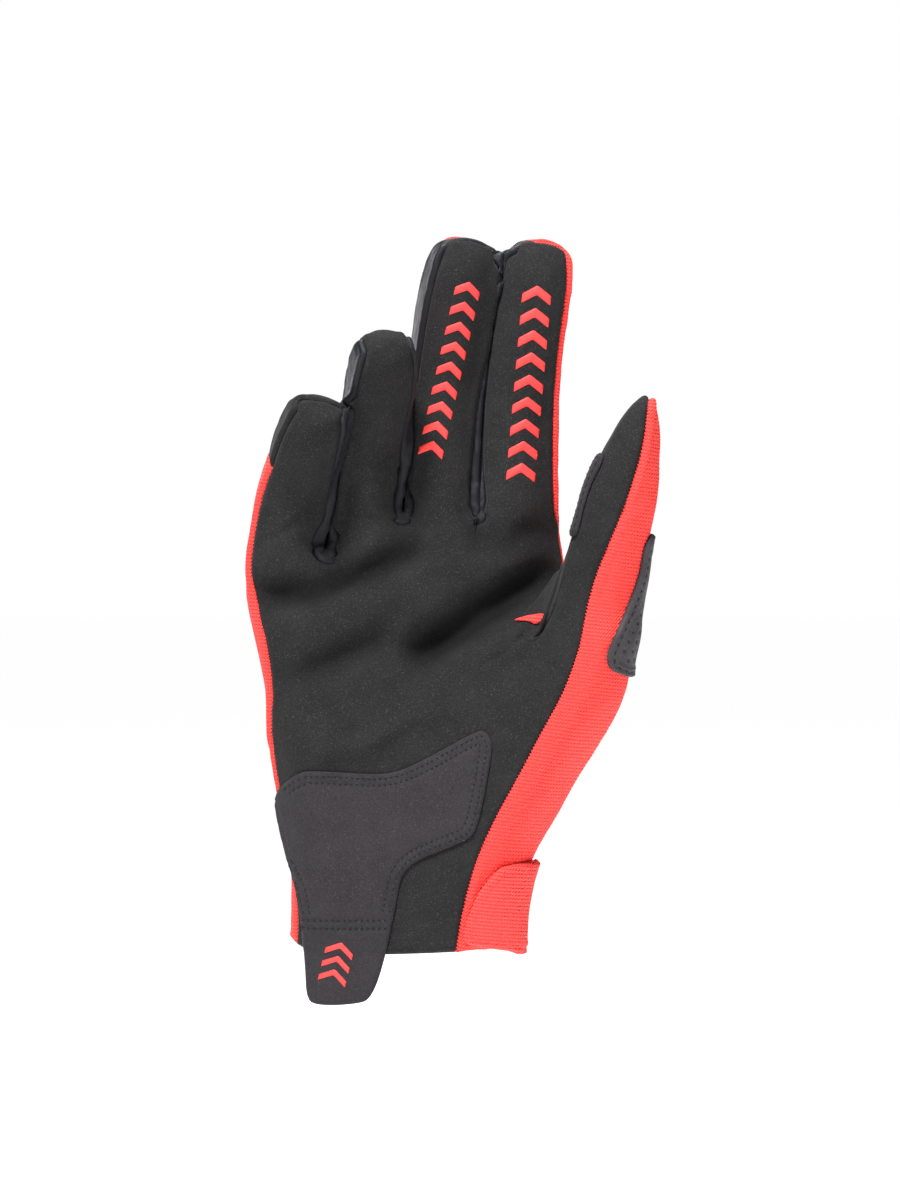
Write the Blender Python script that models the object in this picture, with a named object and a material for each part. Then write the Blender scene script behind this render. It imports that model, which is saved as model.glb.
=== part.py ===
"""Motocross glove for the right hand, standing open as if a hand filled it.

Metres. X runs across the palm towards the thumb, -Y points out of the palm and +Z to the fingertips.
The origin is the centre of the wrist mouth.

One cage of rings covers the whole glove: rings round the wrist and palm, which fork into the thumb
and then into four fingers. Each sewn panel is a set of the cage's faces, given its wall and a
small gap to its neighbours. Patches and the strap lie on the cage's outer face.
"""
import math
from collections import namedtuple

import bpy
from mathutils import Matrix, Vector
from mathutils.geometry import delaunay_2d_cdt

# Cuff and palm
CUFF_WIDTH = 0.0695
CUFF_DEPTH = 0.043
CUFF_SEAM = 0.016
CUFF_PALM_EDGE = 0.008
CUFF_FORK_COLUMN = 0.002
HEM_DIP = 0.0025
HEM_FADE = 0.12
PALM_TAPER = 0.0030
PALM_DEPTH = 0.036
PALM_ARCH = 0.004
INDEX_SET_BACK = 0.005
KNUCKLE_DEPTH = 0.031
KNUCKLE_SHIFT = -0.0006
KNUCKLE_SWELL = 0.0030
KNUCKLE_SWELL_POWER = 0.7
RELIEF_HEIGHT = 0.004
RELIEF_EDGE = 1.5
RELIEF_FADE = 0.3

# Fork of the thumb
FORK_HEIGHT = 0.0958
FORK_X = 0.0399
FORK_GAP = 0.0044
FORK_SEAM = 0.0141
FORK_WEB_RISE = 0.012
FORK_WEB_SHIFT = 0.008
FORK_WEB_REACH = 0.018
FORK_WEB_START = 0.5
FORK_SWELL = 0.1

# Thumb
THUMB_WIDTH = 0.0278
THUMB_DEPTH = 0.0260
THUMB_LENGTH = 0.0735
THUMB_FORWARD = 0.021
THUMB_LEAN = (11.5, 15.5)
THUMB_CURL = (26, 3)
THUMB_ROLL = (0, 0)

# Finger roots
WEB_TONGUE = 0.006
WEB_NARROWING = 0.45

# Walls and clearances
SUEDE_WALL = 0.0012
KNIT_WALL = 0.0015
STRETCH_WALL = 0.0010
SEAM_GAP = 0.0003
SEAT_GAP = 0.0003

# Sewn-on pieces
HEEL_PATCH_WIDTH = 0.0646
HEEL_PATCH_HEIGHT = 0.0847
HEEL_PATCH_LEFT = -0.0380
HEEL_PATCH_BOTTOM = -0.0176
HEEL_PATCH_WALL = 0.0014
STRAP_WIDTH = 0.0290
STRAP_REACH = 0.0700
STRAP_FRONT = 0.0177
STRAP_BOTTOM = -0.0015
STRAP_WALL = 0.0020
KNUCKLE_PAD_WIDTH = 0.0290
KNUCKLE_PAD_HEIGHT = 0.0430
KNUCKLE_PAD_LEFT = 0.0621
KNUCKLE_PAD_BOTTOM = 0.0825
KNUCKLE_PAD_WALL = 0.0018
GRIP_PATCH_WIDTH = 0.0180
GRIP_PATCH_HEIGHT = 0.0240
GRIP_PATCH_LEFT = 0.0420
GRIP_PATCH_BOTTOM = 0.1265
GRIP_PATCH_WALL = 0.0010

# Resolution of the cage
LOWER_ROWS = 13
UPPER_ROWS = ((0.34, 0.0), (0.68, 0.0), (1.0, 0.0), (1.0, WEB_TONGUE))
ROUNDNESS = 2.5
SIDE_SHARE = 0.5
FINGER_COLUMNS = (-0.88, -0.32, 0.32, 0.88)
THUMB_EDGE_COLUMN = 0.86
FINGER_ROOT_FADE = 4
THUMB_ROOT_FADE = 7
AXIS_STEPS = 40
MITRE_STEADINESS = 0.12
MITRE_LIMIT = 1.8
SLIDE_REACH = 0.6
HANG_MARGIN = 1.2
HANG_ROWS = 3
SIDE_POINTS = 2

# One row per finger, from the outer edge to the thumb. Angles in degrees, at the root and the tip.
Finger = namedtuple("Finger", "name width tip_width depth length lean curl roll gap fork_height")
FINGERS = (
    Finger("pinky", 0.0230, 0.0200, 0.0185, 0.0550, (8, 24), (14, 45), (4, 14), 0.0032, 0.1177),
    Finger("ring", 0.0212, 0.0200, 0.0190, 0.0675, (4, 11), (12, 50), (4, 22), 0.0018, 0.1294),
    Finger("middle", 0.0218, 0.0228, 0.0195, 0.0830, (-1, 13), (3, 14), (2, 18), 0.0012, 0.1300),
    Finger("index", 0.0238, 0.0224, 0.0200, 0.0840, (-1, 11), (2, 12), (0, 4), 0.0, 0.1260),
)
OUTER_ROOT_HEIGHT = 0.1120

# Below the fork. All but the first and last column are shares of the way from cuff to fork;
# the last is how far round the outer edge the palm's seam lies, as a share of the half width.
Palm = namedtuple("Palm", "along left right palm seam depth forward turn")
PALM_SECTIONS = (
    Palm(0.00, 0.00, 0.00, 0.00, 0.00, 0.00, 0.00, 0.950),
    Palm(0.10, 0.00, 0.01, 0.05, 0.04, 0.05, 0.00, 0.945),
    Palm(0.21, -0.02, 0.06, 0.12, 0.10, 0.10, 0.03, 0.950),
    Palm(0.32, 0.10, 0.17, 0.21, 0.19, 0.15, 0.08, 0.960),
    Palm(0.44, 0.31, 0.35, 0.35, 0.33, 0.25, 0.17, 0.980),
    Palm(0.56, 0.49, 0.53, 0.51, 0.50, 0.40, 0.30, 0.985),
    Palm(0.68, 0.66, 0.73, 0.66, 0.65, 0.55, 0.47, 0.980),
    Palm(0.80, 0.69, 0.90, 0.81, 0.82, 0.70, 0.67, 0.965),
    Palm(0.91, 0.85, 0.94, 0.92, 0.93, 0.85, 0.86, 0.950),
    Palm(1.00, 1.00, 1.00, 1.00, 1.00, 1.00, 1.00, 0.945),
)

# Above the fork, along as a share of the way to the finger roots
Knuckle = namedtuple("Knuckle", "along left right depth lobes turn inner_turn")
KNUCKLE_SECTIONS = (
    Knuckle(0.00, 0.00, 0.00, 0.00, 0.00, 0.945, 0.900),
    Knuckle(0.34, 0.40, 0.50, 0.30, 0.08, 0.945, 0.910),
    Knuckle(0.68, 0.80, 0.92, 0.65, 0.30, 0.950, 0.940),
    Knuckle(1.00, 1.00, 1.00, 1.00, 0.70, 0.950, 0.950),
)

# Shares of a finger's width and depth along its length
Section = namedtuple("Section", "along width depth")
FINGER_SECTIONS = (
    Section(0.00, 1.00, 1.22),
    Section(0.13, 1.00, 1.08),
    Section(0.27, 1.01, 1.00),
    Section(0.41, 0.98, 0.97),
    Section(0.55, 0.96, 1.00),
    Section(0.69, 0.99, 0.97),
    Section(0.81, 0.97, 0.92),
    Section(0.91, 0.91, 0.80),
    Section(0.975, 0.72, 0.54),
)

# Shares of the thumb's width and depth, and the share of its width where the knit panel starts
ThumbSection = namedtuple("ThumbSection", "along width depth seam")
THUMB_SECTIONS = (
    ThumbSection(0.00, 1.00, 1.10, 0.43),
    ThumbSection(0.12, 0.93, 0.98, 0.40),
    ThumbSection(0.26, 0.89, 0.94, 0.41),
    ThumbSection(0.40, 0.81, 0.92, 0.47),
    ThumbSection(0.54, 0.78, 0.90, 0.57),
    ThumbSection(0.66, 0.72, 0.88, 0.61),
    ThumbSection(0.79, 0.57, 0.84, 0.68),
    ThumbSection(0.89, 0.42, 0.70, 0.66),
    ThumbSection(0.965, 0.24, 0.44, 0.62),
)

# Pads, hollows and folds of the palm. Ends and width are shares of half the knuckles' width and of
# the fork's height; rise is a share of the relief's height, out of the palm.
Relief = namedtuple("Relief", "name ends width rise")
PALM_RELIEF = (
    Relief("thumb pad", ((0.78, 0.40), (1.00, 0.84)), 0.20, 0.80),
    Relief("outer pad", ((-0.62, 0.30), (-0.74, 0.84)), 0.15, 0.75),
    Relief("hollow", ((-0.08, 0.60), (0.05, 1.00)), 0.20, -1.00),
    Relief("finger pads", ((-0.70, 1.12), (0.50, 1.27)), 0.09, 0.40),
    Relief("fold under fingers", ((-0.95, 1.13), (-0.56, 1.16), (-0.13, 1.24), (0.08, 1.31)), 0.04, -0.45),
    Relief("fold across palm", ((0.08, 0.94), (0.51, 1.10), (0.92, 1.21)), 0.042, -0.60),
    Relief("crotch of the thumb", ((0.80, 0.92), (0.84, 0.99)), 0.040, -1.00),
    Relief("soft fold", ((-0.70, 0.865), (-0.13, 1.00)), 0.05, -0.40),
    Relief("ridge over heel", ((-0.63, 0.63), (-0.27, 0.65), (0.16, 0.79)), 0.038, 0.35),
)

# Outlines as seen from the front, as shares of each piece's width and height. Past the glove's
# edge the first share goes on round its side.
HEEL_PATCH_OUTLINE = (
    (-0.03, 0.740), (0.02, 0.800), (0.115, 0.852), (0.195, 0.855), (0.486, 0.845), (0.571, 0.858),
    (0.681, 0.895), (0.924, 0.993), (0.963, 1.000), (1.000, 0.965), (0.986, 0.848), (0.924, 0.648),
    (0.896, 0.619), (0.681, 0.546), (0.619, 0.517), (0.580, 0.477), (0.543, 0.350), (0.486, 0.178),
    (0.438, 0.066), (0.404, 0.022), (0.376, 0.008), (0.142, 0.000), (0.119, 0.022), (0.108, 0.143),
    (0.099, 0.288), (0.067, 0.437), (-0.01, 0.560), (-0.04, 0.650),
)
STRAP_OUTLINE = (
    (0.163, 0.945), (0.114, 0.850), (0.066, 0.690), (0.027, 0.475), (0.000, 0.255), (0.000, 0.180),
    (0.027, 0.128), (0.093, 0.093), (0.190, 0.041), (0.240, 0.000), (0.450, 0.000), (0.600, 0.060),
    (0.930, 0.060), (0.980, 0.150), (1.000, 0.320), (1.000, 0.700), (0.980, 0.880), (0.930, 0.960),
    (0.600, 0.960), (0.450, 1.000), (0.294, 1.000),
)
KNUCKLE_PAD_OUTLINE = (
    (0.390, 0.920), (0.335, 0.735), (0.250, 0.550), (0.115, 0.345), (0.000, 0.140), (0.035, 0.055),
    (0.155, 0.015), (0.410, 0.000), (0.790, 0.080), (0.970, 0.330), (1.000, 0.650), (0.800, 0.900),
    (0.520, 1.000),
)
GRIP_PATCH_OUTLINE = (
    (0.530, 0.000), (0.670, 0.350), (0.830, 0.650), (1.000, 0.960), (0.560, 1.000), (0.230, 0.720),
    (0.000, 0.330), (0.060, 0.040),
)

# Columns of a ring below the fork, counted from the outer edge of the palm
PALM_COLUMNS = 16
THUMB_COLUMNS = 5
FRONT_COLUMNS = PALM_COLUMNS + THUMB_COLUMNS
SEAM_COLUMN = PALM_COLUMNS + 2
INNER_SIDE_POINTS = 4

SUEDE_COLOUR = (0.030, 0.030, 0.029)
STRETCH_COLOUR = (0.013, 0.014, 0.020)
PATCH_COLOUR = (0.056, 0.052, 0.056)
PAD_COLOUR = (0.075, 0.070, 0.078)
KNIT_COLOUR = (0.95, 0.060, 0.050)


def clear_scene():
    for item in list(bpy.data.objects):
        bpy.data.objects.remove(item, do_unlink=True)


def mix(start, end, share):
    return start + (end - start) * share


def smooth(share):
    share = min(1.0, max(0.0, share))
    return share * share * (3 - 2 * share)


def blend(table, along):
    """A table's row at any place along it, on a smooth curve through its rows."""
    last = len(table) - 1
    upper = next((i for i in range(1, last + 1) if along <= table[i].along), last)
    a, b = table[upper - 1], table[upper]
    before, after = table[max(upper - 2, 0)], table[min(upper + 1, last)]
    span = b.along - a.along
    t = (along - a.along) / span
    values = [along]
    for p0, p1, p2, p3 in zip(before[1:], a[1:], b[1:], after[1:]):
        slope_a = (p2 - p0) / max(b.along - before.along, span) * span
        slope_b = (p3 - p1) / max(after.along - a.along, span) * span
        values.append(
            (2 * t**3 - 3 * t**2 + 1) * p1 + (t**3 - 2 * t**2 + t) * slope_a
            + (3 * t**2 - 2 * t**3) * p2 + (t**3 - t**2) * slope_b
        )
    return type(a)(*values)


def bulge(xi):
    """Height of the rounded section over its half width, both as shares."""
    return max(0.0, 1 - abs(xi) ** ROUNDNESS) ** (1 / ROUNDNESS)


def knuckle_width():
    return sum(finger.width + finger.gap for finger in FINGERS)


def finger_centres():
    """X of each finger's middle at its root."""
    left = KNUCKLE_SHIFT - knuckle_width() / 2
    centres = []
    for finger in FINGERS:
        centres.append(left + finger.width / 2)
        left += finger.width + finger.gap
    return centres


def root_columns():
    """X of the palm's columns at the finger roots: four on each finger."""
    return [
        centre + xi * finger.width / 2
        for finger, centre in zip(FINGERS, finger_centres())
        for xi in FINGER_COLUMNS
    ]


def palm_column_shares(narrowing):
    """Places of the palm's columns from its outer seam to its inner edge, with narrower webs."""
    columns = root_columns()
    for k in range(len(FINGERS) - 1):
        low, high = 4 * k + 3, 4 * k + 4
        middle = (columns[low] + columns[high]) / 2
        half = (columns[high] - columns[low]) / 2 * narrowing
        columns[low], columns[high] = middle - half, middle + half
    for k in range(len(FINGERS)):
        first, last = columns[4 * k], columns[4 * k + 3]
        columns[4 * k + 1] = mix(first, last, 1 / 3)
        columns[4 * k + 2] = mix(first, last, 2 / 3)
    return [(x - columns[0]) / (columns[-1] - columns[0]) for x in columns]


def relief(x, z):
    """How far the palm's pads, hollows and folds push its surface out at a place."""
    u = x / (knuckle_width() / 2)
    v = z / FORK_HEIGHT
    total = 0.0
    for item in PALM_RELIEF:
        nearest = min(
            segment_distance((u, v), start, end) for start, end in zip(item.ends, item.ends[1:])
        )
        total += item.rise * math.exp(-((nearest / item.width) ** 2) / 2)
    return total * RELIEF_HEIGHT


def segment_distance(point, start, end):
    """Distance to a segment, with X counted at half its share so that widths match heights."""
    px, pz = (point[0] - start[0]) / 2, point[1] - start[1]
    dx, dz = (end[0] - start[0]) / 2, end[1] - start[1]
    t = min(1.0, max(0.0, (px * dx + pz * dz) / (dx * dx + dz * dz)))
    return math.hypot(px - t * dx, pz - t * dz)


def hem_height(x):
    """The hem dips in the middle of the palm and rises at the outer edge."""
    share = x / (CUFF_WIDTH / 2)
    return HEM_DIP * (share**6 - 1 + min(0.0, share) ** 2)


def lower_ring(along):
    """Points round palm and thumb root below the fork: front from the left, right side, back, left side."""
    row = blend(PALM_SECTIONS, along)
    fork_left = KNUCKLE_SHIFT - knuckle_width() / 2 + PALM_TAPER
    left = mix(-CUFF_WIDTH / 2, fork_left, row.left)
    right = mix(CUFF_WIDTH / 2, FORK_X + FORK_GAP / 2 + THUMB_WIDTH, row.right)
    palm_edge = mix(CUFF_PALM_EDGE, FORK_X - FORK_GAP / 2, row.palm)
    thumb_edge = palm_edge + mix(CUFF_FORK_COLUMN, FORK_GAP, row.palm)
    seam = mix(CUFF_SEAM, FORK_X + FORK_SEAM, row.seam)
    half_depth = mix(CUFF_DEPTH, PALM_DEPTH, row.depth) / 2
    centre, half = (left + right) / 2, (right - left) / 2
    first = centre - row.turn * half
    last = centre + row.turn * half
    columns = [mix(first, palm_edge, share) for share in palm_column_shares(WEB_NARROWING)]
    columns += [thumb_edge, (thumb_edge + seam) / 2, seam, (seam + last) / 2, last]

    swing_start = palm_edge - FORK_WEB_REACH / 2
    web_share = smooth((along - FORK_WEB_START) / (1 - FORK_WEB_START))

    def middle_y(x):
        xi = (x - centre) / half
        swing = smooth((x - swing_start) / (right - swing_start))
        arch = PALM_ARCH * row.palm * min(0.0, xi) ** 2
        return -arch - THUMB_FORWARD * row.forward * swing

    def point(x, side, share):
        z = along * FORK_HEIGHT + hem_height(x) * (1 - smooth(along / HEM_FADE))
        y = middle_y(x) + side * half_depth * share
        if side > 0:
            near = math.exp(-((x - FORK_X) / FORK_WEB_REACH) ** 2) * web_share
            z += FORK_WEB_RISE * near
            x += FORK_WEB_SHIFT * near
        if side < 0:
            y -= relief(x, z) * min(1.0, share * RELIEF_EDGE)
        return Vector((x, y, z))

    front = [point(x, -1, bulge((x - centre) / half)) for x in columns]
    back = [point(x, 1, bulge((x - centre) / half)) for x in reversed(columns)]
    side_share = SIDE_SHARE * bulge(row.turn)
    right_side = [point(right, side, side_share) for side in (-1, 1)]
    left_side = [point(left, side, side_share) for side in (1, -1)]
    return front + right_side + back + left_side


def root_heights():
    """Height of each palm column where the fingers start."""
    forks = [OUTER_ROOT_HEIGHT] + [finger.fork_height for finger in FINGERS]
    heights = []
    for k in range(len(FINGERS)):
        heights += [mix(forks[k], forks[k + 1], smooth(step / 3)) for step in range(4)]
    return heights


def upper_ring(along, tongue, fork_front, fork_back):
    """Points round the palm above the fork, up to the finger roots.

    tongue: how far the last ring stands above the roots."""
    row = blend(KNUCKLE_SECTIONS, along)
    lobes = 1.0 if tongue else row.lobes
    swell = KNUCKLE_SWELL * max(0.0, math.sin(math.pi * along)) ** KNUCKLE_SWELL_POWER
    half_knuckle = knuckle_width() / 2
    left = KNUCKLE_SHIFT - half_knuckle + PALM_TAPER * (1 - row.left)
    right = mix(FORK_X, KNUCKLE_SHIFT + half_knuckle, row.right) + swell
    half_depth = mix(PALM_DEPTH, KNUCKLE_DEPTH, row.depth) / 2
    centre, half = (left + right) / 2, (right - left) / 2
    first, last = centre - row.turn * half, centre + row.inner_turn * half
    columns = [mix(first, last, share) for share in palm_column_shares(mix(WEB_NARROWING, 1, lobes))]
    heights = root_heights()
    centres = finger_centres()

    def middle_y(x):
        xi = (x - centre) / half
        return -PALM_ARCH * min(0.0, xi) ** 2 + INDEX_SET_BACK * smooth(along) * max(0.0, xi) ** 2

    def height(column, fork_point):
        return mix(fork_point.z, heights[column], along) + tongue

    def point(column, side):
        finger = FINGERS[column // 4]
        x = columns[column]
        y = side * half_depth * bulge((x - centre) / half)
        lobe_x = root_columns()[column]
        lobe_y = side * finger.depth / 2 * FINGER_SECTIONS[0].depth * bulge(FINGER_COLUMNS[column % 4])
        x, y = mix(x, lobe_x, lobes), mix(y, lobe_y, lobes) + middle_y(x)
        z = height(column, (fork_front if side < 0 else fork_back)[column])
        if side < 0:
            y -= relief(x, z) * (1 - smooth(along - RELIEF_FADE)) * bulge((x - centre) / half)
        return Vector((x, y, z))

    side_share = SIDE_SHARE * mix(bulge(row.turn), bulge(FINGER_COLUMNS[-1]), lobes)

    def side_point(x, column, side):
        finger = FINGERS[column // 4]
        depth = mix(half_depth, finger.depth / 2 * FINGER_SECTIONS[0].depth, lobes)
        z = height(column, fork_front[column].lerp(fork_back[column], 0.5 + side / 6))
        return Vector((x, middle_y(x) + side * depth * side_share, z))

    outer_left = mix(left, centres[0] - FINGERS[0].width / 2, lobes)
    outer_right = mix(right, centres[-1] + FINGERS[-1].width / 2, lobes)
    front = [point(column, -1) for column in range(PALM_COLUMNS)]
    back = [point(column, 1) for column in reversed(range(PALM_COLUMNS))]
    right_side = [side_point(outer_right, PALM_COLUMNS - 1, side) for side in (-1, 1)]
    left_side = [side_point(outer_left, 0, side) for side in (1, -1)]
    return front + right_side + back + left_side


def axis_frames(start, length, lean, curl, roll, places):
    """Centre, right, front and forward directions along a bent finger, at shares of its length."""
    frames = {}
    point = start.copy()
    done = 0.0
    for place in places:
        steps = max(1, round((place - done) * AXIS_STEPS))
        for step in range(steps):
            share = done + (place - done) * (step + 0.5) / steps
            point = point + axis_direction(share, lean, curl) * (length * (place - done) / steps)
        done = place
        forward = axis_direction(place, lean, curl)
        right = forward.cross(Vector((0, -1, 0))).normalized()
        front = right.cross(forward).normalized()
        turn = math.radians(mix(roll[0], roll[1], smooth(place)))
        rolled_right = right * math.cos(turn) - front * math.sin(turn)
        rolled_front = front * math.cos(turn) + right * math.sin(turn)
        frames[place] = (point.copy(), rolled_right, rolled_front, forward)
    return frames


def axis_direction(share, lean, curl):
    side = math.radians(mix(lean[0], lean[1], smooth(share)))
    bend = math.radians(mix(curl[0], curl[1], smooth(share)))
    return Vector((math.sin(side) * math.cos(bend), -math.sin(bend), math.cos(side) * math.cos(bend)))


def section_points(columns):
    """Shares across and out of the front for a tube's ring, in ring order."""
    front = [(xi, bulge(xi)) for xi in columns]
    back = [(xi, -bulge(xi)) for xi in reversed(columns)]
    side = SIDE_SHARE * bulge(columns[-1])
    return front + [(1, side), (1, -side)] + back + [(-1, -side), (-1, side)]


def tube_rings(root, start, length, lean, curl, roll, sections, root_fade):
    """Rings of a finger that grow out of the root ring, and the grid that closes its tip.

    sections: along, width, depth and columns of each ring, the first one at the root."""
    places = [section[0] for section in sections] + [1.0]
    frames = axis_frames(start, length, lean, curl, roll, places)

    def ring_at(place, width, depth, columns):
        centre, right, front, _ = frames[place]
        return [
            centre + right * across * width / 2 + front * out * depth / 2
            for across, out in section_points(columns)
        ]

    first = ring_at(*sections[0])
    strays = [actual - ideal for actual, ideal in zip(root, first)]
    rings = []
    for section in sections[1:]:
        fade = (1 - section[0]) ** root_fade
        rings.append([p + stray * fade for p, stray in zip(ring_at(*section), strays)])
    _, width, depth, columns = sections[-1]
    centre, right, front, _ = frames[1.0]
    tip = [
        [centre + right * xi * width / 2 + front * out * depth / 2 for xi in columns[1:-1]]
        for out in (SIDE_SHARE / 2, -SIDE_SHARE / 2)
    ]
    return rings, tip


class Cage:
    """The glove's outer surface: points, and faces with the panel that each belongs to."""

    def __init__(self):
        self.points = []
        self.faces = []
        self.panels = []

    def add_points(self, points):
        first = len(self.points)
        self.points.extend(points)
        return list(range(first, len(self.points)))

    def add_face(self, corners, panel):
        self.faces.append(tuple(corners))
        self.panels.append(panel)

    def join_rings(self, lower, upper, panel_of):
        count = len(lower)
        for i in range(count):
            j = (i + 1) % count
            self.add_face((lower[i], lower[j], upper[j], upper[i]), panel_of(i))

    def add_saddle(self, front, right_side, left_side, back, panels):
        """Closes the crotch between two tubes: front and back edges, and two points on each side."""
        rows = [front, (left_side[0], right_side[0]), (left_side[1], right_side[1]), back]
        for (a, b), (c, d), panel in zip(rows, rows[1:], panels):
            self.add_face((a, b, d, c), panel)

    def close_tip(self, ring, tip, front_count, panel_of):
        """Closes a tube with a grid of faces between its front and back points."""
        front = ring[:front_count]
        right = ring[front_count:front_count + 2]
        back = list(reversed(ring[front_count + 2:2 * front_count + 2]))
        left = list(reversed(ring[2 * front_count + 2:]))
        inner = [self.add_points(row) for row in tip]
        rows = [front]
        rows += [[left[k]] + inner[k] + [right[k]] for k in range(2)]
        rows += [back]
        for k, (a, b) in enumerate(zip(rows, rows[1:])):
            for c in range(front_count - 1):
                self.add_face((a[c], a[c + 1], b[c + 1], b[c]), panel_of(k, c))


def lower_panel(i):
    """Panel of the faces below the fork, by their place round the ring."""
    if i < SEAM_COLUMN:
        return "palm_panel"
    if i <= FRONT_COLUMNS + 2:
        return "thumb_side_panel"
    return "back_panel"


def upper_panel(i, first_row, top_row):
    if top_row and i % 4 == 3 and i < PALM_COLUMNS - 1:
        return FOURCHETTES[i // 4]
    if i < PALM_COLUMNS - 1 or (i == PALM_COLUMNS - 1 and not first_row):
        return "palm_panel"
    return "back_panel"


FOURCHETTES = ("fourchette_pinky_ring", "fourchette_ring_middle", "fourchette_middle_index")
TIP_PANELS = ("pinky_tip_panel", "palm_panel", "back_panel", "back_panel")


def finger_panel(k, i, row, last_row):
    """Panel of a finger's faces: front, inner side, back and outer side, three faces each."""
    if i < 3:
        return "palm_panel"
    if i < 6:
        return "back_panel" if k == 3 else FOURCHETTES[k]
    if i < 9:
        return TIP_PANELS[k] if row == last_row else "back_panel"
    if k == 0:
        return "pinky_tip_panel" if row >= last_row / 2 else "back_panel"
    return FOURCHETTES[k - 1]


def finger_tip_panel(k, row, column):
    """Panel of the faces that close a fingertip, in three rows from front to back."""
    if row == 0 or (row == 1 and k <= 1):
        return "palm_panel"
    if row == 2:
        return TIP_PANELS[k]
    if row == 1 and k == 2:
        return FOURCHETTES[1]
    if row == 1 and column == 0:
        return FOURCHETTES[2]
    return "back_panel"


def thumb_panel(i):
    if i < 2 or i > 2 * THUMB_COLUMNS:
        return "palm_panel"
    return "thumb_side_panel"


def thumb_tip_panel(row, column):
    return "palm_panel" if row < 2 and column < 2 else "thumb_side_panel"


def build_cage():
    """All rings from the hem to the fingertips; also the rings that patches lie on."""
    cage = Cage()
    lower = []
    for row in range(LOWER_ROWS + 1):
        lower.append(cage.add_points(lower_ring(row / LOWER_ROWS)))
        if row:
            cage.join_rings(lower[-2], lower[-1], lower_panel)
    fork = lower[-1]
    front, back = fork[:FRONT_COLUMNS], list(reversed(fork[FRONT_COLUMNS + 2:-2]))
    right_side, left_side = fork[FRONT_COLUMNS:FRONT_COLUMNS + 2], fork[-2:]
    edge = PALM_COLUMNS - 1
    palm_side, thumb_side = [], []
    for share in (1 / 3, 2 / 3):
        a = cage.points[front[edge]].lerp(cage.points[back[edge]], share)
        b = cage.points[front[edge + 1]].lerp(cage.points[back[edge + 1]], share)
        palm_side += cage.add_points([a.lerp(b, FORK_SWELL)])
        thumb_side += cage.add_points([b.lerp(a, FORK_SWELL)])
    cage.add_saddle(
        (front[edge], front[edge + 1]), thumb_side, palm_side, (back[edge], back[edge + 1]),
        ("palm_panel", "back_panel", "back_panel"),
    )

    palm_root = front[:PALM_COLUMNS] + palm_side + back[edge::-1] + left_side
    thumb_root = front[PALM_COLUMNS:] + right_side + back[:edge:-1] + thumb_side[::-1]
    fork_front = [cage.points[i] for i in front[:PALM_COLUMNS]]
    fork_back = [cage.points[i] for i in back[:PALM_COLUMNS]]
    ring = palm_root
    for along, tongue in UPPER_ROWS:
        points = cage.add_points(upper_ring(along, tongue, fork_front, fork_back))
        first_row = ring is palm_root
        cage.join_rings(ring, points, lambda i: upper_panel(i, first_row, tongue > 0))
        ring = points
    add_fingers(cage, ring)
    thumb_rings = add_thumb(cage, thumb_root)
    return cage, lower, thumb_rings


def add_fingers(cage, root):
    front, back = root[:PALM_COLUMNS], list(reversed(root[PALM_COLUMNS + 2:-2]))
    right_side, left_side = root[PALM_COLUMNS:PALM_COLUMNS + 2], root[-2:]
    sides = [left_side[::-1]]
    for k in range(len(FINGERS) - 1):
        low, high = 4 * k + 3, 4 * k + 4
        pair = ([], [])
        for share in (1 / 3, 2 / 3):
            a = cage.points[front[low]].lerp(cage.points[back[low]], share)
            b = cage.points[front[high]].lerp(cage.points[back[high]], share)
            gap = (b - a).length
            swell = (gap - FINGERS[k].gap) / 2 / gap
            pair[0].extend(cage.add_points([a.lerp(b, swell)]))
            pair[1].extend(cage.add_points([b.lerp(a, swell)]))
        cage.add_saddle(
            (front[low], front[high]), pair[1], pair[0], (back[low], back[high]), (FOURCHETTES[k],) * 3
        )
        sides += [pair[0], pair[1]]
    sides.append(right_side)
    for k, finger in enumerate(FINGERS):
        columns = slice(4 * k, 4 * k + 4)
        ring = front[columns] + list(sides[2 * k + 1]) + back[columns][::-1] + list(sides[2 * k])[::-1]
        points = [cage.points[i] for i in ring]
        start = sum(points, Vector()) / len(points)
        sections = [
            (
                row.along,
                mix(finger.width, finger.tip_width, smooth(row.along)) * row.width,
                finger.depth * row.depth,
                FINGER_COLUMNS,
            )
            for row in FINGER_SECTIONS
        ]
        rings, tip = tube_rings(
            points, start, finger.length, finger.lean, finger.curl, finger.roll, sections,
            FINGER_ROOT_FADE,
        )
        last_row = len(rings) - 1
        for row, positions in enumerate(rings):
            upper = cage.add_points(positions)
            cage.join_rings(ring, upper, lambda i: finger_panel(k, i, row, last_row))
            ring = upper
        cage.close_tip(ring, tip, 4, lambda row, column: finger_tip_panel(k, row, column))


def add_thumb(cage, root):
    points = [cage.points[i] for i in root]
    start = sum(points, Vector()) / len(points)
    sections = []
    for row in THUMB_SECTIONS:
        seam = 2 * row.seam - 1
        edge = THUMB_EDGE_COLUMN
        columns = (-edge, (seam - edge) / 2, seam, (seam + edge) / 2, edge)
        sections.append((row.along, THUMB_WIDTH * row.width, THUMB_DEPTH * row.depth, columns))
    rings, tip = tube_rings(
        points, start, THUMB_LENGTH, THUMB_LEAN, THUMB_CURL, THUMB_ROLL, sections, THUMB_ROOT_FADE
    )
    ring = root
    all_rings = [root]
    for positions in rings:
        upper = cage.add_points(positions)
        cage.join_rings(ring, upper, thumb_panel)
        ring = upper
        all_rings.append(ring)
    cage.close_tip(ring, tip, THUMB_COLUMNS, thumb_tip_panel)
    return all_rings


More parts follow.
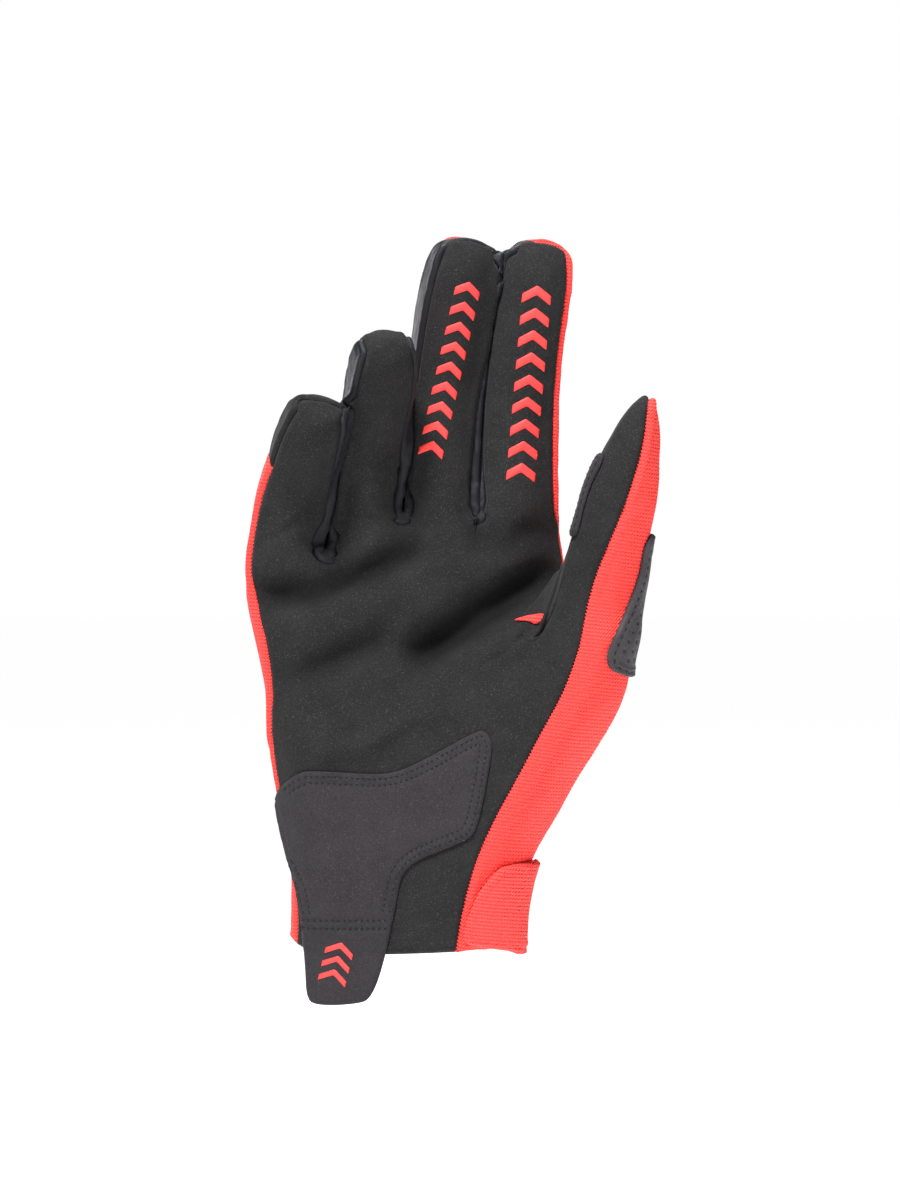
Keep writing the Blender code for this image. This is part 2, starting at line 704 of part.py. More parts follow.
def cage_normals(cage):
    """Outward direction at each point, as long as keeps a wall of one unit on every face round it."""
    sums = [Matrix(((0,) * 3,) * 3) for _ in cage.points]
    totals = [Vector() for _ in cage.points]
    for corners in cage.faces:
        a, b, c, d = (cage.points[i] for i in corners)
        normal = (c - a).cross(d - b).normalized()
        outer = Matrix([[p * q for q in normal] for p in normal])
        for i in corners:
            sums[i] = sums[i] + outer
            totals[i] = totals[i] + normal
    normals = []
    for spread, total in zip(sums, totals):
        steady = Matrix.Identity(3) * MITRE_STEADINESS
        way = (spread + steady).inverted() @ (total + total.normalized() * MITRE_STEADINESS)
        if way.length > MITRE_LIMIT:
            way = way.normalized() * MITRE_LIMIT
        normals.append(way)
    return normals


def split_quad(corners):
    """Two triangles of a quad; the cut runs the same way on every face."""
    a, b, c, d = corners
    return ((a, b, c), (a, c, d))


def make_material(name, colour, roughness, sheen=0.0):
    material = bpy.data.materials.new(name)
    material.use_nodes = True
    shader = material.node_tree.nodes["Principled BSDF"]
    shader.inputs["Base Color"].default_value = (*colour, 1)
    shader.inputs["Roughness"].default_value = roughness
    shader.inputs["Metallic"].default_value = 0.0
    shader.inputs["Sheen Weight"].default_value = sheen
    return material


def make_object(name, points, faces, material):
    mesh = bpy.data.meshes.new(name)
    mesh.from_pydata([tuple(p) for p in points], [], faces)
    mesh.materials.append(material)
    mesh.validate()
    mesh.shade_smooth()
    mesh.set_sharp_from_angle(angle=math.radians(50))
    item = bpy.data.objects.new(name, mesh)
    bpy.context.scene.collection.objects.link(item)
    return item


def boundary_edges(triangles):
    """Edges with one triangle, each in that triangle's direction."""
    directed = {(a, b) for t in triangles for a, b in zip(t, t[1:] + t[:1])}
    return [(a, b) for a, b in directed if (b, a) not in directed]


def close_solid(name, outer, inner, triangles, material):
    """A wall between an outer and an inner copy of the same triangles."""
    used = sorted({i for t in triangles for i in t})
    number = {old: new for new, old in enumerate(used)}
    count = len(used)
    faces = [tuple(number[i] for i in t) for t in triangles]
    faces += [tuple(number[i] + count for i in reversed(t)) for t in triangles]
    for a, b in sorted(boundary_edges(triangles)):
        low, high = number[a], number[b]
        if a < b:
            faces.append((high, low, low + count))
            faces.append((high, low + count, high + count))
        else:
            faces.append((high, low, high + count))
            faces.append((low, low + count, high + count))
    points = [outer[i] for i in used] + [inner[i] for i in used]
    return make_object(name, points, faces, material)


def seam_slides(cage, normals, faces, gap):
    """How far each seam point of a panel draws back into the panel, so that seams stay open."""
    directed = {(a, b): f for f in faces for a, b in zip(f, f[1:] + f[:1])}
    pulls = {}
    for (a, b), face in directed.items():
        if (b, a) in directed:
            continue
        along = (cage.points[b] - cage.points[a]).normalized()
        for corner in (a, b):
            pulls.setdefault(corner, []).append(normals[corner].cross(along).normalized())
    slides = {}
    for corner, ways in pulls.items():
        total = sum(ways, Vector())
        reach = max(SLIDE_REACH, total.normalized().dot(ways[0]))
        slides[corner] = total.normalized() * (gap / 2 / reach)
    return slides


def make_panel(cage, normals, name, wall, material):
    faces = [face for face, panel in zip(cage.faces, cage.panels) if panel == name]
    slides = seam_slides(cage, normals, faces, SEAM_GAP)
    outer = {}
    for i in {i for face in faces for i in face}:
        outer[i] = cage.points[i] + slides.get(i, Vector())
    inner = {i: p - normals[i] * wall for i, p in outer.items()}
    triangles = [t for face in faces for t in split_quad(face)]
    return close_solid(name, outer, inner, triangles, material)


def surface_grid(cage, normals, rings, front):
    """Rows of (plane place, point, normal): across as seen from the front, arc length past its edges.

    front: range of each row's points that face the front."""
    rows = []
    for ring in rings:
        points = [cage.points[i] for i in ring]
        across = [p.x for p in points]
        for i in range(front[1], len(ring)):
            across[i] = across[i - 1] + (points[i] - points[i - 1]).length
        for i in range(front[0] - 1, -1, -1):
            across[i] = across[i + 1] - (points[i + 1] - points[i]).length
        rows.append([(Vector((a, p.z)), p, normals[i]) for a, p, i in zip(across, points, ring)])
    return rows


def hang_below(rows, drop, steps):
    """Rows that go on straight down below the hem, for what hangs past it."""
    lowest = rows[0]
    extra = []
    for step in range(steps, 0, -1):
        fall = drop * step / steps
        extra.append([
            (Vector((place.x, place.y - fall)), point - Vector((0, 0, fall)), normal)
            for place, point, normal in lowest
        ])
    return extra + rows


def make_sheet(name, rows, outline, wall, material):
    """A solid sheet that lies on the grid's surface inside an outline."""
    width = len(rows[0])
    cells = [item for row in rows for item in row]
    triangles = []
    for r in range(len(rows) - 1):
        for c in range(width - 1):
            low, high = r * width + c, (r + 1) * width + c
            triangles += split_quad((low, low + 1, high + 1, high))
    places = [place for place, _, _ in cells] + [Vector(p) for p in outline]
    border = list(range(len(cells), len(places)))
    corners = places[len(cells):]
    if sum(a.cross(b) for a, b in zip(corners, corners[1:] + corners[:1])) < 0:
        border.reverse()
    flat, _, faces, _, _, origins = delaunay_2d_cdt(places, [], triangles + [border], 0, 1e-7, True)
    chosen, holders = [], {}
    for face, sources in zip(faces, origins):
        if len(triangles) not in sources:
            continue
        cell = [s for s in sources if s < len(triangles)]
        if not cell:
            continue
        chosen.append(tuple(face))
        for corner in face:
            holders.setdefault(corner, triangles[cell[0]])
    outer, inner = {}, {}
    for corner, holder in holders.items():
        weights = triangle_weights(flat[corner], [cells[i][0] for i in holder])
        point = sum((cells[i][1] * w for i, w in zip(holder, weights)), Vector())
        normal = sum((cells[i][2] * w for i, w in zip(holder, weights)), Vector()).normalized()
        inner[corner] = point + normal * SEAT_GAP
        outer[corner] = point + normal * (SEAT_GAP + wall)
    return close_solid(name, outer, inner, chosen, material)


def triangle_weights(place, corners):
    a, b, c = corners
    area = (b - a).cross(c - a)
    wb = (place - a).cross(c - a) / area
    wc = (b - a).cross(place - a) / area
    return 1 - wb - wc, wb, wc


def place_outline(outline, left, bottom, width, height):
    return [(left + u * width, bottom + v * height) for u, v in outline]


def make_patches(cage, normals, lower, thumb_rings, patch, pad, knit):
    wrap = [ring[-SIDE_POINTS:] + ring[:-SIDE_POINTS] for ring in lower]
    wrist = surface_grid(cage, normals, wrap, (SIDE_POINTS, SIDE_POINTS + FRONT_COLUMNS))
    wrist = hang_below(wrist, -HEEL_PATCH_BOTTOM * HANG_MARGIN, HANG_ROWS)
    outline = place_outline(
        HEEL_PATCH_OUTLINE, HEEL_PATCH_LEFT, HEEL_PATCH_BOTTOM, HEEL_PATCH_WIDTH, HEEL_PATCH_HEIGHT
    )
    make_sheet("heel_patch", wrist, outline, HEEL_PATCH_WALL, patch)
    outline = place_outline(STRAP_OUTLINE, STRAP_FRONT, STRAP_BOTTOM, STRAP_REACH, STRAP_WIDTH)
    make_sheet("wrist_strap", wrist, outline, STRAP_WALL, knit)

    outer_side = slice(PALM_COLUMNS, PALM_COLUMNS + 2 * THUMB_COLUMNS + SIDE_POINTS)
    rings = [ring[outer_side] for ring in lower[:-1]]
    rings += [ring[:-SIDE_POINTS] for ring in thumb_rings]
    thumb = surface_grid(cage, normals, rings, (0, THUMB_COLUMNS))
    outline = place_outline(
        KNUCKLE_PAD_OUTLINE, KNUCKLE_PAD_LEFT, KNUCKLE_PAD_BOTTOM, KNUCKLE_PAD_WIDTH, KNUCKLE_PAD_HEIGHT
    )
    make_sheet("thumb_knuckle_pad", thumb, outline, KNUCKLE_PAD_WALL, pad)

    rings = [ring[-INNER_SIDE_POINTS:] + ring[:THUMB_COLUMNS] for ring in thumb_rings[1:]]
    inside = surface_grid(cage, normals, rings, (INNER_SIDE_POINTS, INNER_SIDE_POINTS + THUMB_COLUMNS))
    outline = place_outline(
        GRIP_PATCH_OUTLINE, GRIP_PATCH_LEFT, GRIP_PATCH_BOTTOM, GRIP_PATCH_WIDTH, GRIP_PATCH_HEIGHT
    )
    make_sheet("thumb_grip_patch", inside, outline, GRIP_PATCH_WALL, patch)


def main():
    clear_scene()
    suede = make_material("suede", SUEDE_COLOUR, 0.9, 0.3)
    stretch = make_material("stretch fabric", STRETCH_COLOUR, 0.6, 0.2)
    patch = make_material("grey suede", PATCH_COLOUR, 0.9, 0.3)
    pad = make_material("moulded pad", PAD_COLOUR, 0.7)
    knit = make_material("red knit", KNIT_COLOUR, 0.8, 0.3)

    cage, lower, thumb_rings = build_cage()
    normals = cage_normals(cage)
    make_panel(cage, normals, "palm_panel", SUEDE_WALL, suede)
    make_panel(cage, normals, "pinky_tip_panel", SUEDE_WALL, suede)
    make_panel(cage, normals, "back_panel", KNIT_WALL, knit)
    make_panel(cage, normals, "thumb_side_panel", KNIT_WALL, knit)
    for name in FOURCHETTES:
        make_panel(cage, normals, name, STRETCH_WALL, stretch)
    make_patches(cage, normals, lower, thumb_rings, patch, pad, knit)


main()
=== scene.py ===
"""Looks of the motocross glove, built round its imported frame.

The cage of the part's source is repeated here and put under a smooth subdivision surface. Each sewn
panel is cut from that surface, with seams, folds and ribs, and each patch is laid on it again.
"""
import math
from collections import namedtuple

import bpy
import numpy as np
from mathutils import Matrix, Vector, noise
from mathutils.bvhtree import BVHTree
from mathutils.geometry import delaunay_2d_cdt
from mathutils.kdtree import KDTree


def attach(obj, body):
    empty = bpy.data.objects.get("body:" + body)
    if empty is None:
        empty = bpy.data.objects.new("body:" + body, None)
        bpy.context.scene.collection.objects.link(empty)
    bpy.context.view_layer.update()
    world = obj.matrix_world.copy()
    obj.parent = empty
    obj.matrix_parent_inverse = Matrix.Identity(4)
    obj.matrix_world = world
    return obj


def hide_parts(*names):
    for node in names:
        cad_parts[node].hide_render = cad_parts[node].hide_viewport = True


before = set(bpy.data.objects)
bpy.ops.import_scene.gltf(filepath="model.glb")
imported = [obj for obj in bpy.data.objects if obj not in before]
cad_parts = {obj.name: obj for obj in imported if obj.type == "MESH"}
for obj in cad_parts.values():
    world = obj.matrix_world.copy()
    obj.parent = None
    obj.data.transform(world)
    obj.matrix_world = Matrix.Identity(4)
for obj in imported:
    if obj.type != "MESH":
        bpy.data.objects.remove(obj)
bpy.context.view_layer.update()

# Cuff and palm
CUFF_WIDTH = 0.0695
CUFF_DEPTH = 0.043
CUFF_SEAM = 0.016
CUFF_PALM_EDGE = 0.008
CUFF_FORK_COLUMN = 0.002
HEM_DIP = 0.0025
HEM_FADE = 0.12
PALM_TAPER = 0.0030
PALM_DEPTH = 0.036
PALM_ARCH = 0.004
INDEX_SET_BACK = 0.005
KNUCKLE_DEPTH = 0.031
KNUCKLE_SHIFT = -0.0006
KNUCKLE_SWELL = 0.0030
KNUCKLE_SWELL_POWER = 0.7
RELIEF_HEIGHT = 0.004
RELIEF_EDGE = 1.5
RELIEF_FADE = 0.3

# Fork of the thumb
FORK_HEIGHT = 0.0958
FORK_X = 0.0399
FORK_GAP = 0.0044
FORK_SEAM = 0.0141
FORK_WEB_RISE = 0.012
FORK_WEB_SHIFT = 0.008
FORK_WEB_REACH = 0.018
FORK_WEB_START = 0.5
FORK_SWELL = 0.1

# Thumb
THUMB_WIDTH = 0.0278
THUMB_DEPTH = 0.0260
THUMB_LENGTH = 0.0735
THUMB_FORWARD = 0.021
THUMB_LEAN = (11.5, 15.5)
THUMB_CURL = (26, 3)
THUMB_ROLL = (0, 0)

# Finger roots
WEB_TONGUE = 0.006
WEB_NARROWING = 0.45

# Walls and clearances
SUEDE_WALL = 0.0012
KNIT_WALL = 0.0015
STRETCH_WALL = 0.0010
SEAT_GAP = 0.0003

# Sewn-on pieces: boxes give the left and lower edge, width and height
HEEL_PATCH_BOX = (-0.0380, -0.0176, 0.0646, 0.0847)
HEEL_PATCH_WALL = 0.0014
STRAP_BOX = (0.0177, -0.0015, 0.0700, 0.0290)
STRAP_WALL = 0.0020
KNUCKLE_PAD_BOX = (0.0610, 0.0840, 0.0290, 0.0430)
KNUCKLE_PAD_WALL = 0.0018
GRIP_PATCH_BOX = (0.0420, 0.1265, 0.0180, 0.0240)
GRIP_PATCH_WALL = 0.0010

# Resolution of the cage
LOWER_ROWS = 13
UPPER_ROWS = ((0.34, 0.0), (0.68, 0.0), (1.0, 0.0), (1.0, WEB_TONGUE))
ROUNDNESS = 2.5
SIDE_SHARE = 0.5
FINGER_COLUMNS = (-0.88, -0.32, 0.32, 0.88)
THUMB_EDGE_COLUMN = 0.86
FINGER_ROOT_FADE = 4
THUMB_ROOT_FADE = 7
AXIS_STEPS = 40
MITRE_STEADINESS = 0.12
MITRE_LIMIT = 1.8
HANG_MARGIN = 1.2
HANG_ROWS = 3
SIDE_POINTS = 2

# One row per finger, from the outer edge to the thumb. Angles in degrees, at the root and the tip.
Finger = namedtuple("Finger", "name width tip_width depth length lean curl roll gap fork_height")
FINGERS = (
    Finger("pinky", 0.0230, 0.0200, 0.0185, 0.0550, (8, 24), (14, 45), (4, 14), 0.0032, 0.1177),
    Finger("ring", 0.0212, 0.0200, 0.0190, 0.0675, (4, 11), (12, 50), (4, 22), 0.0018, 0.1294),
    Finger("middle", 0.0218, 0.0228, 0.0195, 0.0830, (-1, 13), (3, 14), (2, 18), 0.0012, 0.1300),
    Finger("index", 0.0238, 0.0224, 0.0200, 0.0840, (-1, 11), (2, 12), (0, 4), 0.0, 0.1260),
)
OUTER_ROOT_HEIGHT = 0.1120

# Below the fork. All but the first and last column are shares of the way from cuff to fork;
# the last is how far round the outer edge the palm's seam lies, as a share of the half width.
Palm = namedtuple("Palm", "along left right palm seam depth forward turn")
PALM_SECTIONS = (
    Palm(0.00, 0.00, 0.00, 0.00, 0.00, 0.00, 0.00, 0.950),
    Palm(0.10, 0.00, 0.01, 0.05, 0.04, 0.05, 0.00, 0.945),
    Palm(0.21, -0.02, 0.06, 0.12, 0.10, 0.10, 0.03, 0.950),
    Palm(0.32, 0.10, 0.17, 0.21, 0.19, 0.15, 0.08, 0.960),
    Palm(0.44, 0.31, 0.35, 0.35, 0.33, 0.25, 0.17, 0.980),
    Palm(0.56, 0.49, 0.53, 0.51, 0.50, 0.40, 0.30, 0.985),
    Palm(0.68, 0.66, 0.73, 0.66, 0.65, 0.55, 0.47, 0.980),
    Palm(0.80, 0.69, 0.90, 0.81, 0.82, 0.70, 0.67, 0.965),
    Palm(0.91, 0.85, 0.94, 0.92, 0.93, 0.85, 0.86, 0.950),
    Palm(1.00, 1.00, 1.00, 1.00, 1.00, 1.00, 1.00, 0.945),
)

# Above the fork, along as a share of the way to the finger roots
Knuckle = namedtuple("Knuckle", "along left right depth lobes turn inner_turn")
KNUCKLE_SECTIONS = (
    Knuckle(0.00, 0.00, 0.00, 0.00, 0.00, 0.945, 0.900),
    Knuckle(0.34, 0.40, 0.50, 0.30, 0.08, 0.945, 0.910),
    Knuckle(0.68, 0.80, 0.92, 0.65, 0.30, 0.950, 0.940),
    Knuckle(1.00, 1.00, 1.00, 1.00, 0.70, 0.950, 0.950),
)

# Shares of a finger's width and depth along its length
Section = namedtuple("Section", "along width depth")
FINGER_SECTIONS = (
    Section(0.00, 1.00, 1.22),
    Section(0.13, 1.00, 1.08),
    Section(0.27, 1.01, 1.00),
    Section(0.41, 0.98, 0.97),
    Section(0.55, 0.96, 1.00),
    Section(0.69, 0.99, 0.97),
    Section(0.81, 0.97, 0.92),
    Section(0.91, 0.91, 0.80),
    Section(0.975, 0.72, 0.54),
)

# Shares of the thumb's width and depth, and the share of its width where the knit panel starts
ThumbSection = namedtuple("ThumbSection", "along width depth seam")
THUMB_SECTIONS = (
    ThumbSection(0.00, 1.00, 1.10, 0.43),
    ThumbSection(0.12, 0.93, 0.98, 0.40),
    ThumbSection(0.26, 0.89, 0.94, 0.41),
    ThumbSection(0.40, 0.81, 0.92, 0.47),
    ThumbSection(0.54, 0.78, 0.90, 0.57),
    ThumbSection(0.66, 0.72, 0.88, 0.61),
    ThumbSection(0.79, 0.57, 0.84, 0.68),
    ThumbSection(0.89, 0.42, 0.70, 0.66),
    ThumbSection(0.965, 0.24, 0.44, 0.62),
)

# Pads, hollows and folds of the palm. Ends and width are shares of half the knuckles' width and of
# the fork's height; rise is a share of the relief's height, out of the palm.
Relief = namedtuple("Relief", "name ends width rise")
PALM_RELIEF = (
    Relief("thumb pad", ((0.78, 0.40), (1.00, 0.84)), 0.20, 0.80),
    Relief("outer pad", ((-0.62, 0.30), (-0.74, 0.84)), 0.15, 0.75),
    Relief("hollow", ((-0.08, 0.60), (0.05, 1.00)), 0.20, -1.00),
    Relief("finger pads", ((-0.70, 1.12), (0.50, 1.27)), 0.09, 0.40),
    Relief("fold under fingers", ((-0.95, 1.13), (-0.56, 1.16), (-0.13, 1.24), (0.08, 1.31)), 0.04, -0.45),
    Relief("fold across palm", ((0.08, 0.94), (0.51, 1.10), (0.92, 1.21)), 0.042, -0.60),
    Relief("crotch of the thumb", ((0.80, 0.92), (0.84, 0.99)), 0.040, -1.00),
    Relief("soft fold", ((-0.70, 0.865), (-0.13, 1.00)), 0.05, -0.40),
    Relief("ridge over heel", ((-0.63, 0.63), (-0.27, 0.65), (0.16, 0.79)), 0.038, 0.35),
)

# Outlines as seen from the front, as shares of each piece's width and height. Past the glove's
# edge the first share goes on round its side.
HEEL_PATCH_OUTLINE = (
    (-0.03, 0.740), (0.02, 0.800), (0.115, 0.852), (0.195, 0.855), (0.486, 0.845), (0.571, 0.858),
    (0.681, 0.895), (0.924, 0.993), (0.963, 1.000), (1.000, 0.965), (0.986, 0.848), (0.924, 0.648),
    (0.896, 0.619), (0.681, 0.546), (0.619, 0.517), (0.580, 0.477), (0.543, 0.350), (0.498, 0.188),
    (0.456, 0.086), (0.424, 0.044), (0.396, 0.030), (0.163, 0.022), (0.140, 0.044), (0.127, 0.150),
    (0.112, 0.288), (0.074, 0.437), (-0.01, 0.560), (-0.04, 0.650),
)
STRAP_OUTLINE = (
    (0.163, 0.945), (0.114, 0.850), (0.066, 0.690), (0.027, 0.475), (0.000, 0.255), (0.000, 0.180),
    (0.027, 0.128), (0.093, 0.093), (0.190, 0.041), (0.240, 0.000), (0.450, 0.000), (0.600, 0.060),
    (0.930, 0.060), (0.980, 0.150), (1.000, 0.320), (1.000, 0.700), (0.980, 0.880), (0.930, 0.960),
    (0.600, 0.960), (0.450, 1.000), (0.294, 1.000),
)
KNUCKLE_PAD_OUTLINE = (
    (0.390, 0.920), (0.335, 0.735), (0.250, 0.550), (0.115, 0.345), (0.000, 0.140), (0.035, 0.055),
    (0.155, 0.015), (0.410, 0.000), (0.790, 0.080), (0.970, 0.330), (1.000, 0.650), (0.800, 0.900),
    (0.520, 1.000),
)
GRIP_PATCH_OUTLINE = (
    (0.530, 0.000), (0.670, 0.350), (0.830, 0.650), (1.000, 0.960), (0.560, 1.000), (0.230, 0.720),
    (0.000, 0.330), (0.060, 0.040),
)

# Columns of a ring below the fork, counted from the outer edge of the palm
PALM_COLUMNS = 16
THUMB_COLUMNS = 5
FRONT_COLUMNS = PALM_COLUMNS + THUMB_COLUMNS
SEAM_COLUMN = PALM_COLUMNS + 2
INNER_SIDE_POINTS = 4

# Places seen in the photograph
PIXEL = 0.000308
CENTRE_PIXEL = 404.5
MOUTH_PIXEL = 947
PHOTO_SIZE = (900, 1200)

# Patches, stitches and prints
PROBE = 0.006
STRAP_SEAT = 0.0010
BORDER_STEP = 0.0010
PATH_STEP = 0.0006
CURVE_STEPS = 12
ROW_STEP = 0.866
INSET_CLEAR = 0.93
EDGE_WALL = 0.35
RELAX_ROUNDS = 6
THREAD_END = 0.55
STITCH_SINK = 1.1
STITCH_BOW = 1.3
PRINT_WALL = 0.00022
PRINT_STEP = 0.0006
PRINT_BEVEL = 0.0003
PRINT_SEAT = 0.00002
CHEVRON_BAR = 0.42
CHEVRON_RISE = 0.32
PAD_BRIM = 0.0004
PAD_HOLE_PITCH = 0.0030
PAD_HOLE_EDGE = 0.0036
PAD_HOLE_DEPTH = 0.0007
PAD_HOLE_RADIUS = 0.00045
BRIDGE_ROUNDS = 150
BRIDGE_SAG = 0.0014
BRIDGE_EDGE = 0.0022
BRIDGE_SEAT = 0.00008
ROLL_STEP = 0.0008

# Colours, lights and camera
# Painted shade in the palm's folds: how strongly the suede darkens there, and the near-black it darkens
# toward
FOLD_SHADE_STRENGTH = 0.72
FOLD_SHADE_COLOUR = (0.001, 0.001, 0.0013)
LINING = (0.016, 0.015, 0.016)
FLOOR = -0.12
FLOOR_REACH = 60
FLOOR_GLOW = 0.90
WORLD_STRENGTH = 0.10
KEY_POWER = 42
FILL_POWER = 1.6
TOP_POWER = 7
BACK_POWER = 4
LENS = 135
SENSOR = 36

# Sides of the fingers that press together
CLOSE_REACH = 0.0070
CLOSE_START = 0.00005
CLOSE_SHARE = 0.48
CLOSE_ROUNDS = 8
CLOSE_FACING = 0.35
CLOSE_MEETING = -0.2


def mix(start, end, share):
    return start + (end - start) * share


def smooth(share):
    share = min(1.0, max(0.0, share))
    return share * share * (3 - 2 * share)


def hermite(t, start, end, slope_start, slope_end):
    """Place on a smooth curve between two places with given slopes."""
    return (
        (2 * t**3 - 3 * t**2 + 1) * start + (t**3 - 2 * t**2 + t) * slope_start
        + (3 * t**2 - 2 * t**3) * end + (t**3 - t**2) * slope_end
    )


def blend(table, along):
    """A table's row at any place along it, on a smooth curve through its rows."""
    last = len(table) - 1
    upper = next((i for i in range(1, last + 1) if along <= table[i].along), last)
    a, b = table[upper - 1], table[upper]
    before, after = table[max(upper - 2, 0)], table[min(upper + 1, last)]
    span = b.along - a.along
    values = [along]
    for p0, p1, p2, p3 in zip(before[1:], a[1:], b[1:], after[1:]):
        slope_a = (p2 - p0) / max(b.along - before.along, span) * span
        slope_b = (p3 - p1) / max(after.along - a.along, span) * span
        values.append(hermite((along - a.along) / span, p1, p2, slope_a, slope_b))
    return type(a)(*values)


def bulge(xi):
    """Height of the rounded section over its half width, both as shares."""
    return max(0.0, 1 - abs(xi) ** ROUNDNESS) ** (1 / ROUNDNESS)


def knuckle_width():
    return sum(finger.width + finger.gap for finger in FINGERS)


def finger_centres():
    """X of each finger's middle at its root."""
    left = KNUCKLE_SHIFT - knuckle_width() / 2
    centres = []
    for finger in FINGERS:
        centres.append(left + finger.width / 2)
        left += finger.width + finger.gap
    return centres


def root_columns():
    """X of the palm's columns at the finger roots: four on each finger."""
    return [
        centre + xi * finger.width / 2
        for finger, centre in zip(FINGERS, finger_centres())
        for xi in FINGER_COLUMNS
    ]


def palm_column_shares(narrowing):
    """Places of the palm's columns from its outer seam to its inner edge, with narrower webs."""
    columns = root_columns()
    for k in range(len(FINGERS) - 1):
        low, high = 4 * k + 3, 4 * k + 4
        middle = (columns[low] + columns[high]) / 2
        half = (columns[high] - columns[low]) / 2 * narrowing
        columns[low], columns[high] = middle - half, middle + half
    for k in range(len(FINGERS)):
        first, last = columns[4 * k], columns[4 * k + 3]
        columns[4 * k + 1] = mix(first, last, 1 / 3)
        columns[4 * k + 2] = mix(first, last, 2 / 3)
    return [(x - columns[0]) / (columns[-1] - columns[0]) for x in columns]


def relief(x, z):
    """How far the palm's pads, hollows and folds push its surface out at a place."""
    u = x / (knuckle_width() / 2)
    v = z / FORK_HEIGHT
    total = 0.0
    for item in PALM_RELIEF:
        nearest = min(
            segment_distance((u, v), start, end) for start, end in zip(item.ends, item.ends[1:])
        )
        total += item.rise * math.exp(-((nearest / item.width) ** 2) / 2)
    return total * RELIEF_HEIGHT


def segment_distance(point, start, end):
    """Distance to a segment, with X counted at half its share so that widths match heights."""
    px, pz = (point[0] - start[0]) / 2, point[1] - start[1]
    dx, dz = (end[0] - start[0]) / 2, end[1] - start[1]
    t = min(1.0, max(0.0, (px * dx + pz * dz) / (dx * dx + dz * dz)))
    return math.hypot(px - t * dx, pz - t * dz)


def hem_height(x):
    """The hem dips in the middle of the palm and rises at the outer edge."""
    share = x / (CUFF_WIDTH / 2)
    return HEM_DIP * (share**6 - 1 + min(0.0, share) ** 2)


def lower_ring(along):
    """Points round palm and thumb root below the fork: front from the left, right side, back, left side."""
    row = blend(PALM_SECTIONS, along)
    fork_left = KNUCKLE_SHIFT - knuckle_width() / 2 + PALM_TAPER
    left = mix(-CUFF_WIDTH / 2, fork_left, row.left)
    right = mix(CUFF_WIDTH / 2, FORK_X + FORK_GAP / 2 + THUMB_WIDTH, row.right)
    palm_edge = mix(CUFF_PALM_EDGE, FORK_X - FORK_GAP / 2, row.palm)
    thumb_edge = palm_edge + mix(CUFF_FORK_COLUMN, FORK_GAP, row.palm)
    seam = mix(CUFF_SEAM, FORK_X + FORK_SEAM, row.seam)
    half_depth = mix(CUFF_DEPTH, PALM_DEPTH, row.depth) / 2
    centre, half = (left + right) / 2, (right - left) / 2
    first = centre - row.turn * half
    last = centre + row.turn * half
    columns = [mix(first, palm_edge, share) for share in palm_column_shares(WEB_NARROWING)]
    columns += [thumb_edge, (thumb_edge + seam) / 2, seam, (seam + last) / 2, last]

    swing_start = palm_edge - FORK_WEB_REACH / 2
    web_share = smooth((along - FORK_WEB_START) / (1 - FORK_WEB_START))

    def middle_y(x):
        xi = (x - centre) / half
        swing = smooth((x - swing_start) / (right - swing_start))
        arch = PALM_ARCH * row.palm * min(0.0, xi) ** 2
        return -arch - THUMB_FORWARD * row.forward * swing

    def point(x, side, share):
        z = along * FORK_HEIGHT + hem_height(x) * (1 - smooth(along / HEM_FADE))
        y = middle_y(x) + side * half_depth * share
        if side > 0:
            near = math.exp(-((x - FORK_X) / FORK_WEB_REACH) ** 2) * web_share
            z += FORK_WEB_RISE * near
            x += FORK_WEB_SHIFT * near
        if side < 0:
            y -= relief(x, z) * min(1.0, share * RELIEF_EDGE)
        return Vector((x, y, z))

    front = [point(x, -1, bulge((x - centre) / half)) for x in columns]
    back = [point(x, 1, bulge((x - centre) / half)) for x in reversed(columns)]
    side_share = SIDE_SHARE * bulge(row.turn)
    right_side = [point(right, side, side_share) for side in (-1, 1)]
    left_side = [point(left, side, side_share) for side in (1, -1)]
    return front + right_side + back + left_side


def root_heights():
    """Height of each palm column where the fingers start."""
    forks = [OUTER_ROOT_HEIGHT] + [finger.fork_height for finger in FINGERS]
    heights = []
    for k in range(len(FINGERS)):
        heights += [mix(forks[k], forks[k + 1], smooth(step / 3)) for step in range(4)]
    return heights


